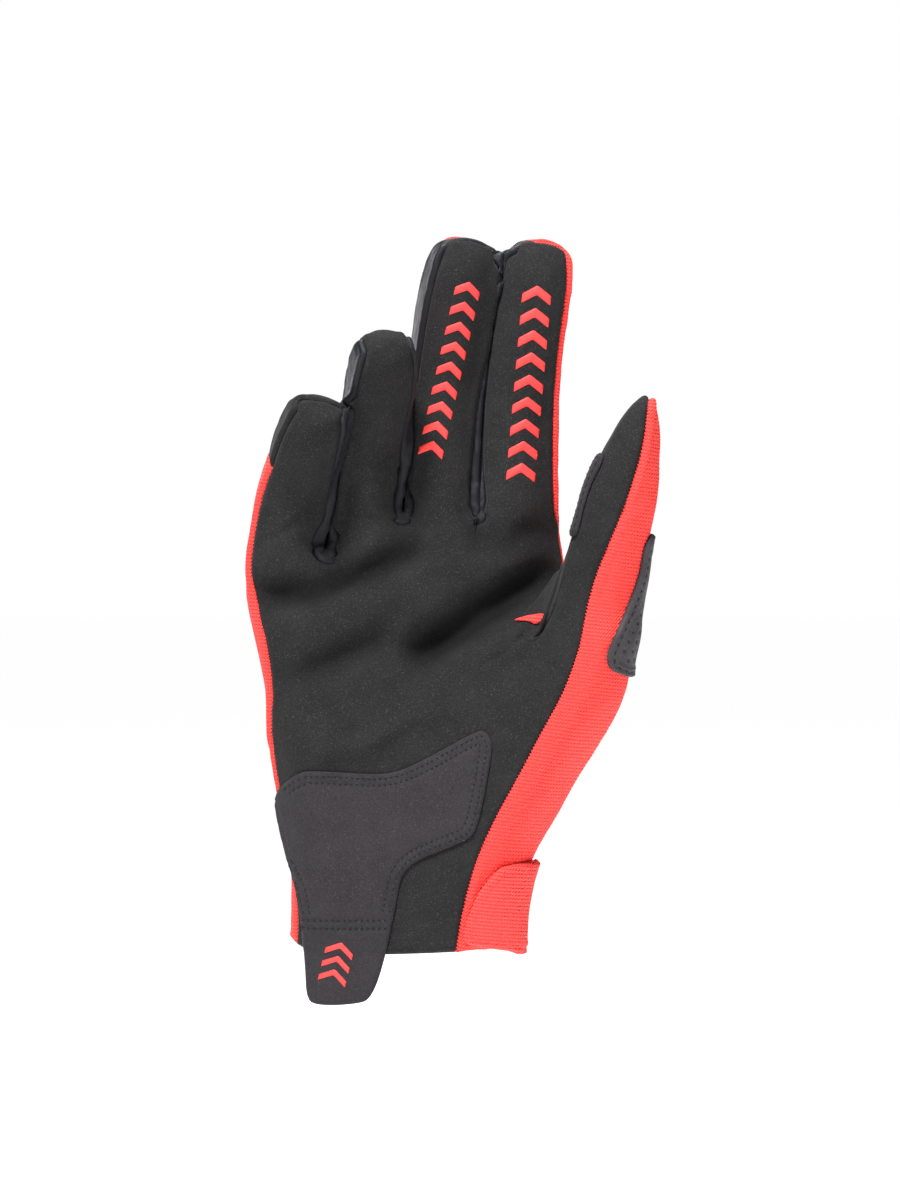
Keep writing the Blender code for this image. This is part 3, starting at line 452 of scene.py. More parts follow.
def upper_ring(along, tongue, fork_front, fork_back):
    """Points round the palm above the fork, up to the finger roots.

    tongue: how far the last ring stands above the roots."""
    row = blend(KNUCKLE_SECTIONS, along)
    lobes = 1.0 if tongue else row.lobes
    swell = KNUCKLE_SWELL * max(0.0, math.sin(math.pi * along)) ** KNUCKLE_SWELL_POWER
    half_knuckle = knuckle_width() / 2
    left = KNUCKLE_SHIFT - half_knuckle + PALM_TAPER * (1 - row.left)
    right = mix(FORK_X, KNUCKLE_SHIFT + half_knuckle, row.right) + swell
    half_depth = mix(PALM_DEPTH, KNUCKLE_DEPTH, row.depth) / 2
    centre, half = (left + right) / 2, (right - left) / 2
    first, last = centre - row.turn * half, centre + row.inner_turn * half
    columns = [mix(first, last, share) for share in palm_column_shares(mix(WEB_NARROWING, 1, lobes))]
    heights = root_heights()
    centres = finger_centres()

    def middle_y(x):
        xi = (x - centre) / half
        return -PALM_ARCH * min(0.0, xi) ** 2 + INDEX_SET_BACK * smooth(along) * max(0.0, xi) ** 2

    def height(column, fork_point):
        return mix(fork_point.z, heights[column], along) + tongue

    def point(column, side):
        finger = FINGERS[column // 4]
        x = columns[column]
        y = side * half_depth * bulge((x - centre) / half)
        lobe_x = root_columns()[column]
        lobe_y = side * finger.depth / 2 * FINGER_SECTIONS[0].depth * bulge(FINGER_COLUMNS[column % 4])
        x, y = mix(x, lobe_x, lobes), mix(y, lobe_y, lobes) + middle_y(x)
        z = height(column, (fork_front if side < 0 else fork_back)[column])
        if side < 0:
            y -= relief(x, z) * (1 - smooth(along - RELIEF_FADE)) * bulge((x - centre) / half)
        return Vector((x, y, z))

    side_share = SIDE_SHARE * mix(bulge(row.turn), bulge(FINGER_COLUMNS[-1]), lobes)

    def side_point(x, column, side):
        finger = FINGERS[column // 4]
        depth = mix(half_depth, finger.depth / 2 * FINGER_SECTIONS[0].depth, lobes)
        z = height(column, fork_front[column].lerp(fork_back[column], 0.5 + side / 6))
        return Vector((x, middle_y(x) + side * depth * side_share, z))

    outer_left = mix(left, centres[0] - FINGERS[0].width / 2, lobes)
    outer_right = mix(right, centres[-1] + FINGERS[-1].width / 2, lobes)
    front = [point(column, -1) for column in range(PALM_COLUMNS)]
    back = [point(column, 1) for column in reversed(range(PALM_COLUMNS))]
    right_side = [side_point(outer_right, PALM_COLUMNS - 1, side) for side in (-1, 1)]
    left_side = [side_point(outer_left, 0, side) for side in (1, -1)]
    return front + right_side + back + left_side


def axis_frames(start, length, lean, curl, roll, places):
    """Centre, right and front directions along a bent finger, at shares of its length."""
    frames = {}
    point = start.copy()
    done = 0.0
    for place in places:
        steps = max(1, round((place - done) * AXIS_STEPS))
        for step in range(steps):
            share = done + (place - done) * (step + 0.5) / steps
            point = point + axis_direction(share, lean, curl) * (length * (place - done) / steps)
        done = place
        forward = axis_direction(place, lean, curl)
        right = forward.cross(Vector((0, -1, 0))).normalized()
        front = right.cross(forward).normalized()
        turn = math.radians(mix(roll[0], roll[1], smooth(place)))
        rolled_right = right * math.cos(turn) - front * math.sin(turn)
        rolled_front = front * math.cos(turn) + right * math.sin(turn)
        frames[place] = (point.copy(), rolled_right, rolled_front)
    return frames


def axis_direction(share, lean, curl):
    side = math.radians(mix(lean[0], lean[1], smooth(share)))
    bend = math.radians(mix(curl[0], curl[1], smooth(share)))
    return Vector((math.sin(side) * math.cos(bend), -math.sin(bend), math.cos(side) * math.cos(bend)))


def section_points(columns):
    """Shares across and out of the front for a tube's ring, in ring order."""
    front = [(xi, bulge(xi)) for xi in columns]
    back = [(xi, -bulge(xi)) for xi in reversed(columns)]
    side = SIDE_SHARE * bulge(columns[-1])
    return front + [(1, side), (1, -side)] + back + [(-1, -side), (-1, side)]


def ring_parts(ring, count):
    """Front, right side, back and left side of a ring; front and back both run from the left."""
    return ring[:count], ring[count:count + 2], ring[count + 2:-2][::-1], ring[-2:]


class Cage:
    """The glove's outer surface: points, and faces with the panel that each belongs to."""

    def __init__(self):
        self.points = []
        self.faces = []
        self.panels = []

    def add_points(self, points):
        first = len(self.points)
        self.points.extend(points)
        return list(range(first, len(self.points)))

    def add_face(self, corners, panel):
        self.faces.append(tuple(corners))
        self.panels.append(panel)

    def join_rings(self, lower, upper, panel_of):
        count = len(lower)
        for i in range(count):
            j = (i + 1) % count
            self.add_face((lower[i], lower[j], upper[j], upper[i]), panel_of(i))

    def add_saddle(self, front, back, low, gap, panels):
        """Closes the crotch between two tubes from front to back, and returns its points on each side.

        gap: width that is left between the tubes, or 0 for the thumb's."""
        left, right = [], []
        for share in (1 / 3, 2 / 3):
            a, b = (self.points[front[i]].lerp(self.points[back[i]], share) for i in (low, low + 1))
            width = (b - a).length
            pull = (width - gap) / 2 / width if gap else FORK_SWELL
            left += self.add_points([a.lerp(b, pull)])
            right += self.add_points([b.lerp(a, pull)])
        rows = [front[low:low + 2], *zip(left, right), back[low:low + 2]]
        for (a, b), (c, d), panel in zip(rows, rows[1:], panels):
            self.add_face((a, b, d, c), panel)
        return left, right

    def close_tip(self, ring, tip, front_count, panel_of):
        """Closes a tube with a grid of faces between its front and back points."""
        front, right, back, left = ring_parts(ring, front_count)
        middle = [[a, *self.add_points(row), b] for a, row, b in zip(left[::-1], tip, right)]
        rows = [front, *middle, back]
        for k, (a, b) in enumerate(zip(rows, rows[1:])):
            for c in range(front_count - 1):
                self.add_face((a[c], a[c + 1], b[c + 1], b[c]), panel_of(k, c))

    def grow_tube(self, root, length, lean, curl, roll, sections, root_fade, panel_of, tip_panel_of):
        """Adds a finger that grows out of the root ring, and returns its rings.

        sections: along, width, depth and columns of each ring, the first one at the root."""
        points = [self.points[i] for i in root]
        start = sum(points, Vector()) / len(points)
        frames = axis_frames(start, length, lean, curl, roll, [section[0] for section in sections] + [1.0])

        def place_in(share, width, depth, across, out):
            centre, right, front = frames[share]
            return centre + right * across * width / 2 + front * out * depth / 2

        def ring_at(share, width, depth, columns):
            return [place_in(share, width, depth, *place) for place in section_points(columns)]

        strays = [actual - ideal for actual, ideal in zip(points, ring_at(*sections[0]))]
        rings = [root]
        for row, section in enumerate(sections[1:]):
            fade = (1 - section[0]) ** root_fade
            upper = self.add_points([p + stray * fade for p, stray in zip(ring_at(*section), strays)])
            self.join_rings(rings[-1], upper, lambda i: panel_of(i, row, len(sections) - 2))
            rings.append(upper)
        _, width, depth, columns = sections[-1]
        tip = [
            [place_in(1.0, width, depth, xi, out) for xi in columns[1:-1]]
            for out in (SIDE_SHARE / 2, -SIDE_SHARE / 2)
        ]
        self.close_tip(rings[-1], tip, len(columns), tip_panel_of)
        return rings


def lower_panel(i):
    """Panel of the faces below the fork, by their place round the ring."""
    if i < SEAM_COLUMN:
        return "palm_panel"
    if i <= FRONT_COLUMNS + 2:
        return "thumb_side_panel"
    return "back_panel"


def upper_panel(i, first_row, top_row):
    """Panel of the faces between the fork and the finger roots."""
    if top_row and i % 4 == 3 and i < PALM_COLUMNS - 1:
        return FOURCHETTES[i // 4]
    if i < PALM_COLUMNS - 1 or (i == PALM_COLUMNS - 1 and not first_row):
        return "palm_panel"
    return "back_panel"


FOURCHETTES = ("fourchette_pinky_ring", "fourchette_ring_middle", "fourchette_middle_index")
TIP_PANELS = ("pinky_tip_panel", "palm_panel", "back_panel", "back_panel")


def finger_panel(k, i, row, last_row):
    """Panel of a finger's faces: front, inner side, back and outer side, three faces each."""
    if i < 3:
        return "palm_panel"
    if i < 6:
        return "back_panel" if k == 3 else FOURCHETTES[k]
    if i < 9:
        return TIP_PANELS[k] if row == last_row else "back_panel"
    if k == 0:
        return "pinky_tip_panel" if row >= last_row / 2 else "back_panel"
    return FOURCHETTES[k - 1]


def finger_tip_panel(k, row, column):
    """Panel of the faces that close a fingertip, in three rows from front to back."""
    if row == 0 or (row == 1 and k <= 1):
        return "palm_panel"
    if row == 2:
        return TIP_PANELS[k]
    if row == 1 and k == 2:
        return FOURCHETTES[1]
    if row == 1 and column == 0:
        return FOURCHETTES[2]
    return "back_panel"


def thumb_panel(i):
    if i < 2 or i > 2 * THUMB_COLUMNS:
        return "palm_panel"
    return "thumb_side_panel"


def thumb_tip_panel(row, column):
    return "palm_panel" if row < 2 and column < 2 else "thumb_side_panel"


def build_cage():
    """All rings from the hem to the fingertips; also the rings that patches lie on."""
    cage = Cage()
    lower = []
    for row in range(LOWER_ROWS + 1):
        lower.append(cage.add_points(lower_ring(row / LOWER_ROWS)))
        if row:
            cage.join_rings(lower[-2], lower[-1], lower_panel)
    front, right_side, back, left_side = ring_parts(lower[-1], FRONT_COLUMNS)
    edge = PALM_COLUMNS - 1
    palm_side, thumb_side = cage.add_saddle(front, back, edge, 0, ("palm_panel", "back_panel", "back_panel"))
    palm_root = front[:PALM_COLUMNS] + palm_side + back[edge::-1] + left_side
    thumb_root = front[PALM_COLUMNS:] + right_side + back[:edge:-1] + thumb_side[::-1]
    fork_front = [cage.points[i] for i in front[:PALM_COLUMNS]]
    fork_back = [cage.points[i] for i in back[:PALM_COLUMNS]]
    ring = palm_root
    for along, tongue in UPPER_ROWS:
        points = cage.add_points(upper_ring(along, tongue, fork_front, fork_back))
        first_row = ring is palm_root
        cage.join_rings(ring, points, lambda i: upper_panel(i, first_row, tongue > 0))
        ring = points
    add_fingers(cage, ring)
    return cage, lower, add_thumb(cage, thumb_root)


def add_fingers(cage, root):
    front, right_side, back, left_side = ring_parts(root, PALM_COLUMNS)
    sides = [left_side[::-1]]
    for k, panel in enumerate(FOURCHETTES):
        sides += cage.add_saddle(front, back, 4 * k + 3, FINGERS[k].gap, (panel,) * 3)
    sides.append(right_side)
    for k, finger in enumerate(FINGERS):
        columns = slice(4 * k, 4 * k + 4)
        ring = front[columns] + sides[2 * k + 1] + back[columns][::-1] + sides[2 * k][::-1]
        widths = [mix(finger.width, finger.tip_width, smooth(row.along)) for row in FINGER_SECTIONS]
        sections = [
            (row.along, width * row.width, finger.depth * row.depth, FINGER_COLUMNS)
            for row, width in zip(FINGER_SECTIONS, widths)
        ]
        cage.grow_tube(
            ring, finger.length, finger.lean, finger.curl, finger.roll, sections, FINGER_ROOT_FADE,
            lambda i, row, last_row: finger_panel(k, i, row, last_row),
            lambda row, column: finger_tip_panel(k, row, column),
        )


def add_thumb(cage, root):
    sections = []
    for row in THUMB_SECTIONS:
        seam = 2 * row.seam - 1
        edge = THUMB_EDGE_COLUMN
        columns = (-edge, (seam - edge) / 2, seam, (seam + edge) / 2, edge)
        sections.append((row.along, THUMB_WIDTH * row.width, THUMB_DEPTH * row.depth, columns))
    return cage.grow_tube(
        root, THUMB_LENGTH, THUMB_LEAN, THUMB_CURL, THUMB_ROLL, sections, THUMB_ROOT_FADE,
        lambda i, *_: thumb_panel(i), thumb_tip_panel,
    )


def cage_normals(cage):
    """Outward direction at each point, as long as keeps a wall of one unit on every face round it."""
    sums = [Matrix(((0,) * 3,) * 3) for _ in cage.points]
    totals = [Vector() for _ in cage.points]
    for corners in cage.faces:
        a, b, c, d = (cage.points[i] for i in corners)
        normal = (c - a).cross(d - b).normalized()
        outer = Matrix([[p * q for q in normal] for p in normal])
        for i in corners:
            sums[i] = sums[i] + outer
            totals[i] = totals[i] + normal
    normals = []
    for spread, total in zip(sums, totals):
        steady = Matrix.Identity(3) * MITRE_STEADINESS
        way = (spread + steady).inverted() @ (total + total.normalized() * MITRE_STEADINESS)
        if way.length > MITRE_LIMIT:
            way = way.normalized() * MITRE_LIMIT
        normals.append(way)
    return normals


def split_quad(corners):
    """Two triangles of a quad; the cut runs the same way on every face."""
    a, b, c, d = corners
    return ((a, b, c), (a, c, d))


def surface_grid(cage, normals, rings, front):
    """Rows of (plane place, point, normal): across as seen from the front, arc length past its edges.

    front: range of each row's points that face the front."""
    rows = []
    for ring in rings:
        points = [cage.points[i] for i in ring]
        across = [p.x for p in points]
        for i in range(front[1], len(ring)):
            across[i] = across[i - 1] + (points[i] - points[i - 1]).length
        for i in range(front[0] - 1, -1, -1):
            across[i] = across[i + 1] - (points[i + 1] - points[i]).length
        rows.append([(Vector((a, p.z)), p, normals[i]) for a, p, i in zip(across, points, ring)])
    return rows


def hang_below(rows, drop, steps):
    """Rows that go on straight down below the hem, for what hangs past it."""
    lowest = rows[0]
    extra = []
    for step in range(steps, 0, -1):
        fall = drop * step / steps
        extra.append([
            (Vector((place.x, place.y - fall)), point - Vector((0, 0, fall)), normal)
            for place, point, normal in lowest
        ])
    return extra + rows


def triangle_weights(place, corners):
    a, b, c = corners
    area = (b - a).cross(c - a)
    wb = (place - a).cross(c - a) / area
    wc = (b - a).cross(place - a) / area
    return 1 - wb - wc, wb, wc


def place_outline(outline, box):
    left, bottom, width, height = box
    return [(left + u * width, bottom + v * height) for u, v in outline]


PANELS = (
    "palm_panel", "back_panel", "thumb_side_panel", "pinky_tip_panel",
    "fourchette_pinky_ring", "fourchette_ring_middle", "fourchette_middle_index",
)

# Relief of the cloth
FIT_ROUNDS = 4
FIT_STEP = 0.8
FINE_LEVEL = 3
GROOVE_DEPTH = 0.00050
GROOVE_WIDTH = 0.00065
ROLL_HEIGHT = 0.00028
ROLL_PLACE = 0.0017
ROLL_WIDTH = 0.0009
PUCKER_HEIGHT = 0.00022
PUCKER_SIZE = 0.0030
PUCKER_REACH = 0.0035
UNEVEN_HEIGHT = 0.00045
UNEVEN_SIZE = 0.017
RUMPLE_HEIGHT = 0.00014
RUMPLE_SIZE = 0.0055
RIB_PITCH = 0.0011
RIB_HEIGHT = 0.00020
RIB_TILT = 0.11
SEAM_SLIDE = 0.00003
SEAM_ROUNDS = 36
SEAM_SPREAD = 14
TOOTH_PITCH = 0.0009
TOOTH_REACH = 0.00055
TOOTH_RADIUS = 0.00016
TOOTH_SLANT = 0.2
TOOTH_LIFT = 0.7
TOOTH_BOW = 0.35
ODD_WAY = (0.31, 0.23, 0.92)

# Folds of the palm as seen from the front: (x, z) in mm, half width in mm, depth in mm
Fold = namedtuple("Fold", "path width depth")
FOLDS = (
    Fold(((-51, 107), (-27, 110), (-17, 114), (-6, 118), (9, 127)), 4.2, 4.0),
    Fold(((-3, 85), (14, 97), (25, 104), (35, 110), (52, 119)), 5.0, 5.4),
    Fold(((14, 129), (32, 124), (50, 132)), 4.6, 2.2),
    Fold(((-38, 81), (-20, 89), (0, 98)), 4.0, 2.4),
    Fold(((-20, 66), (-9, 69)), 1.8, 0.35),
    Fold(((36, 100), (27, 97), (19, 95)), 1.2, 0.7),
    Fold(((37, 96), (29, 90), (22, 86)), 1.0, 0.5),
    Fold(((41, 99), (34, 95), (28, 94)), 0.9, 0.8),
    Fold(((37, 95), (38, 94), (40, 91)), 1.3, 1.6),
    Fold(((-30, 60), (-13, 62), (-1, 68), (8, 76)), 2.2, -0.6),
    Fold(((-45, 124), (-36, 128), (-30, 133)), 1.2, 0.4),
    Fold(((-18, 141), (-10, 143), (-2, 142)), 1.0, 0.35),
    Fold(((4, 152), (12, 154), (20, 152)), 1.0, 0.3),
    Fold(((26, 150), (36, 153), (46, 150)), 1.1, 0.3),
    Fold(((-29, 123), (-25, 119)), 0.9, 0.6),
    Fold(((-28, 127), (-24, 124)), 0.8, -0.4),
    Fold(((-1.5, 134), (2, 130.5)), 0.9, 0.6),
    Fold(((-1, 138), (2.5, 135)), 0.8, -0.4),
    Fold(((21.5, 136), (25, 132.5)), 0.9, 0.6),
)
# Fold depth, in metres, at which the painted shade in the folds is at full strength
FOLD_SHADE_FULL_DEPTH = 0.004

# Feet of the gaps between the fingers: x and z in mm, widening of each side in mm
WEB_LOOPS = ((-25.5, 122, 1.5), (0.5, 131, 1.2), (23.5, 132, 1.1))
WEB_REACH = 5
WEB_ABOVE = 34
WEB_BELOW = 6
WEB_FULL = 1.5
WEB_FACING = 0.2

# Lift of the front hem, in mm, at places across the cuff, in mm
HEM_REACH = 0.014
HEM_LINE = (
    (-42, 0), (-28, 0), (-8, 1.7), (10, 2.3), (25, 2.9), (31, 1.5), (37, -1.0), (45, -0.6), (60, 0),
)

# Cloth at the thumb's crotch, in pixels of the photograph
CROTCH_SHEET = (
    (562, 569), (561, 580), (557, 593), (553, 606), (548, 619), (541, 631), (534, 640), (526, 640),
    (519, 630), (523, 614), (535, 600), (547, 584), (556, 572),
)
CROTCH_KNIT = ((514, 620.5), (522, 617.5), (531, 615.5), (544, 614.5), (541, 621), (536, 624), (526, 621.5))
CROTCH_ROLL = (
    (561, 564), (559, 572), (556, 582), (553, 592), (549, 602), (546, 611), (542, 621), (538, 630),
    (533, 636),
)


def evaluated_points(mesh, level):
    """Points of the mesh under a subdivision surface, and its quads with their labels."""
    item = bpy.data.objects.new("cage", mesh)
    bpy.context.scene.collection.objects.link(item)
    modifier = item.modifiers.new("surface", "SUBSURF")
    modifier.levels = level
    modifier.use_limit_surface = True
    modifier.boundary_smooth = "ALL"
    result = item.evaluated_get(bpy.context.evaluated_depsgraph_get()).to_mesh()
    points = np.empty(len(result.vertices) * 3)
    result.vertices.foreach_get("co", points)
    quads = np.empty(len(result.loops), int)
    result.loops.foreach_get("vertex_index", quads)
    labels = np.empty(len(result.polygons), int)
    result.polygons.foreach_get("material_index", labels)
    bpy.data.objects.remove(item, do_unlink=True)
    return points.reshape(-1, 3), quads.reshape(-1, 4), labels


def fine_surface(cage):
    """Smooth surface through the cage's points."""
    mesh = bpy.data.meshes.new("cage")
    mesh.from_pydata([tuple(p) for p in cage.points], [], cage.faces)
    mesh.polygons.foreach_set("material_index", [PANELS.index(name) for name in cage.panels])
    target = np.array([tuple(p) for p in cage.points])
    control = target.copy()
    for _ in range(FIT_ROUNDS):
        control += (target - evaluated_points(mesh, 1)[0][:len(target)]) * FIT_STEP
        mesh.vertices.foreach_set("co", control.ravel())
        mesh.update()
    return evaluated_points(mesh, FINE_LEVEL)


def edge_table(faces):
    """Directed edges of the faces, and the face of each."""
    edges, holders = [], []
    for number, face in enumerate(faces):
        face = list(face)
        edges += zip(face, face[1:] + face[:1])
        holders += [number] * len(face)
    return np.array(edges), np.array(holders)


def unit(vectors):
    """Vectors of length one along the last axis."""
    return vectors / np.maximum(np.linalg.norm(vectors, axis=-1, keepdims=True), 1e-12)


def gathered(holders, values, count):
    """Sum of the values of each holder."""
    sums = np.zeros((count, *values.shape[1:]))
    np.add.at(sums, holders, values)
    return sums


def point_normals(points, faces):
    """Outward direction at each point, from its faces by their size."""
    edges, holders = edge_table(faces)
    sums = gathered(holders, np.cross(points[edges[:, 0]], points[edges[:, 1]]), len(faces))
    return unit(gathered(edges[:, 0], sums[holders], len(points)))


def seam_distances(points, seam):
    """Distance of each point from the nearest seam or hem."""
    tree = KDTree(len(seam))
    for i in seam:
        tree.insert(points[i], i)
    tree.balance()
    return np.array([tree.find(p)[2] for p in points])


def path_distances(places, path):
    """Distance of each place from a polyline, both in one plane."""
    best = np.full(len(places), 1e9)
    for start, end in zip(path, path[1:]):
        start, end = np.array(start, float), np.array(end, float)
        way = end - start
        t = np.clip(((places - start) @ way) / (way @ way), 0, 1)
        best = np.minimum(best, np.linalg.norm(places - start - t[:, None] * way, axis=1))
    return best


def noise_at(points, size, seed):
    offset = Vector((seed * 3.7, seed * 1.3, seed * 2.1))
    return np.array([noise.noise(Vector(p) / size + offset) for p in points])


def rib_phase(points):
    """Turns of the rib pattern at each point: the ribs run level and tilt a little across the glove."""
    drift = noise_at(points, 0.03, 5) * 0.0006
    return (points[:, 2] + RIB_TILT * points[:, 0] + drift) / RIB_PITCH


def neighbours(edges, count):
    """Joined points, both ways, and how many each point has."""
    pairs = np.concatenate([edges, edges[:, ::-1]])
    return pairs, np.bincount(pairs[:, 0], minlength=count).clip(1)


def neighbour_mean(values, pairs, counts):
    sums = gathered(pairs[:, 0], values[pairs[:, 1]], len(values))
    return (sums.T / counts).T


def single_edges(faces):
    """Each edge of the faces once."""
    return np.unique(np.sort(edge_table(faces)[0], axis=1), axis=0)


def rim_edges(faces):
    """Directed edges that have no face on their other side."""
    edges = {edge for face in faces for edge in zip(face, face[1:] + face[:1])}
    return sorted(edge for edge in edges if edge[::-1] not in edges)


def walled(name, outer, inner, faces, rim):
    """A closed wall between two layers of points."""
    count = len(outer)
    solid = [tuple(face) for face in faces]
    solid += [tuple(i + count for i in reversed(face)) for face in faces]
    solid += [(b, a, a + count, b + count) for a, b in rim]
    return make_mesh(name, np.concatenate([outer, inner]), solid)


def path_lengths(path):
    """Length of a path up to each of its places."""
    return np.concatenate([[0], np.cumsum(np.linalg.norm(np.diff(path, axis=0), axis=1))])


def places_at(marks, lengths, path):
    """Places on a path at given lengths along it."""
    return np.stack([np.interp(marks, lengths, column) for column in np.transpose(path)], axis=-1)


def closed(border):
    """A closed curve with its first place again at the end."""
    return np.concatenate([border, border[:1]])


def widen_webs(points, quads, labels):
    """Spreads the seams at the foot of each gap between two fingers, so that it ends in a round loop."""
    facing = point_normals(points, quads)[:, 1] < WEB_FACING
    seam = np.array(sorted(seam_mates(quads, labels)))
    moves = np.zeros_like(points)
    for x, z, amount in WEB_LOOPS:
        across = points[seam, 0] * 1000 - x
        up = points[seam, 2] * 1000 - z
        up /= np.where(up > 0, WEB_ABOVE, WEB_BELOW)
        near = np.exp(-(across / WEB_REACH) ** 4 - up ** 2) * facing[seam]
        moves[seam, 0] += np.clip(across / WEB_FULL, -1, 1) * near * amount / 1000
    held = np.zeros(len(points), bool)
    held[seam] = True
    return points + spread(moves, quads, held, SEAM_SPREAD)


def close_slits(points, quads, labels):
    """Lets neighbouring fingers press together: sides that face each other meet half way."""
    normals = point_normals(points, quads)
    tree = BVHTree.FromPolygons([tuple(p) for p in points], quads.tolist())
    moves = np.zeros_like(points)
    for i in np.unique(quads[labels >= PANELS.index(FOURCHETTES[0])]):
        if abs(normals[i][0]) < CLOSE_FACING:
            continue
        start, way = Vector(points[i]), Vector((math.copysign(1.0, normals[i][0]), 0, 0))
        hit, facing, _, distance = tree.ray_cast(start + way * CLOSE_START, way, CLOSE_REACH)
        if hit and facing.dot(way) < CLOSE_MEETING:
            share = CLOSE_SHARE * (1 - smooth(2.5 * distance / CLOSE_REACH - 1.5))
            moves[i] = np.array(way) * distance * share
    return points + spread(moves, quads, np.linalg.norm(moves, axis=1) > 0, CLOSE_ROUNDS)


def spread(moves, quads, held, rounds):
    """Lets the points that aren't held follow their neighbours' moves."""
    pairs, counts = neighbours(edge_table(quads)[0], len(moves))
    moves = moves.copy()
    for _ in range(rounds):
        moves[~held] = neighbour_mean(moves, pairs, counts)[~held]
    return moves


def edge_labels(quads, labels):
    """Panel of each directed edge."""
    edges, faces = edge_table(quads)
    return {(a, b): labels[f] for (a, b), f in zip(edges.tolist(), faces.tolist())}


def seam_mates(quads, labels):
    """Neighbours of each seam point along the seams and hems."""
    holder = edge_labels(quads, labels)
    mates = {}
    for (a, b), label in holder.items():
        if holder.get((b, a), -1) != label:
            mates.setdefault(a, set()).add(b)
            mates.setdefault(b, set()).add(a)
    return mates


def round_seams(points, quads, labels):
    """Takes the corners out of the seams, and lets the cloth beside them follow."""
    mates = seam_mates(quads, labels)
    seam = np.array(sorted(i for i, ends in mates.items() if len(ends) == 2))
    ends = np.array([sorted(mates[i]) for i in seam.tolist()])
    moved = points.copy()
    for _ in range(SEAM_ROUNDS):
        moved[seam] += (moved[ends].mean(axis=1) - moved[seam]) * 0.5
    held = np.zeros(len(points), bool)
    held[list(mates)] = True
    return points + spread(moved - points, quads, held, SEAM_SPREAD)


def seam_teeth(name, points, quads, labels, sides, scale):
    """Short strands of thread that cross the seams between two kinds of panel."""
    pitch, reach, radius = TOOTH_PITCH * scale, TOOTH_REACH * scale, TOOTH_RADIUS * scale
    normals = point_normals(points, quads)
    holder = edge_labels(quads, labels)
    first, second = sides
    steps = {
        a: b for (a, b), label in holder.items()
        if label in first and holder.get((b, a), -1) in second
    }
    starts = sorted(set(steps) - set(steps.values())) or sorted(steps)[:1]
    strands = []
    for start in starts:
        chain = [start]
        while chain[-1] in steps and len(chain) <= len(steps):
            chain.append(steps[chain[-1]])
        path = points[chain]
        lengths = path_lengths(path)
        for mark in np.arange(pitch / 2, lengths[-1], pitch):
            centre = places_at(mark, lengths, path)
            along = places_at(mark + pitch, lengths, path) - centre
            if np.linalg.norm(along) < 1e-7:
                continue
            along, up = unit(along), unit(places_at(mark, lengths, normals[chain]))
            side = np.cross(up, along)
            strands.append([
                centre + side * reach * t + along * pitch * TOOTH_SLANT * t
                + up * (radius * TOOTH_LIFT - reach * TOOTH_BOW * t * t)
                for t in (-1, -0.4, 0.4, 1)
            ])
    return strand_mesh(name, strands, radius)


def ring_round(centre, side, up, radius, sides):
    turns = [math.tau * turn / sides for turn in range(sides)]
    return [centre + (side * math.cos(turn) + up * math.sin(turn)) * radius for turn in turns]


def add_tube(points, faces, rings):
    """Adds a tube through rings of points, closed at both ends."""
    first, sides = len(points), len(rings[0])
    for ring in rings:
        points += ring
    for low in range(first, len(points) - sides, sides):
        for i in range(sides):
            j = (i + 1) % sides
            faces.append((low + i, low + j, low + sides + j, low + sides + i))
    faces.append(tuple(reversed(range(first, first + sides))))
    faces.append(tuple(range(len(points) - sides, len(points))))


def strand_mesh(name, strands, radius):
    """Four-sided threads that taper to their ends."""
    points, faces = [], []
    for strand in strands:
        rings = []
        for k, centre in enumerate(strand):
            along = unit(strand[min(k + 1, 3)] - strand[max(k - 1, 0)])
            side = unit(np.cross(along, ODD_WAY))
            thick = radius * (THREAD_END if k in (0, 3) else 1.0)
            rings.append(ring_round(centre, side, -np.cross(side, along), thick, 4))
        add_tube(points, faces, rings)
    return make_mesh(name, points, faces)


def shape_hem(points, quads):
    """Sets the line of the cuff's front hem."""
    front = np.clip(-point_normals(points, quads)[:, 1] * 2, 0, 1)
    low = np.clip(1 - points[:, 2] / HEM_REACH, 0, 1)
    places, lifts = zip(*HEM_LINE)
    points = points.copy()
    points[:, 2] += low * front * np.interp(points[:, 0] * 1000, places, lifts) / 1000
    return points


def fold_depths(points, normals):
    """How deep the folds of the palm are at each point, in metres."""
    depth = np.zeros(len(points))
    facing = np.clip(-normals[:, 1], 0, 1)
    places = points[:, [0, 2]] * 1000
    for fold in FOLDS:
        near = np.exp(-((path_distances(places, fold.path) / fold.width) ** 2))
        for end in (fold.path[0], fold.path[-1]):
            far = np.linalg.norm(places - np.array(end), axis=1) / fold.width / 1.8
            near *= 1 - np.exp(-far ** 2)
        depth += near * facing * fold.depth / 1000
    return depth


def add_relief(points, quads, labels):
    """Presses seams and folds into the surface and lets the cloth be a little uneven."""
    normals = point_normals(points, quads)
    seam = seam_distances(points, seam_mates(quads, labels))
    height = -GROOVE_DEPTH * np.exp(-((seam / GROOVE_WIDTH) ** 2))
    height += ROLL_HEIGHT * np.exp(-(((seam - ROLL_PLACE) / ROLL_WIDTH) ** 2))
    height += PUCKER_HEIGHT * noise_at(points, PUCKER_SIZE, 1) * np.exp(-((seam / PUCKER_REACH) ** 2))
    height += UNEVEN_HEIGHT * noise_at(points, UNEVEN_SIZE, 2)
    height += RUMPLE_HEIGHT * noise_at(points, RUMPLE_SIZE, 3)
    folds = fold_depths(points, normals)
    # The fold depths also go on to the panels, for the painted shade in the folds.
    return points + normals * (height - folds)[:, None], folds


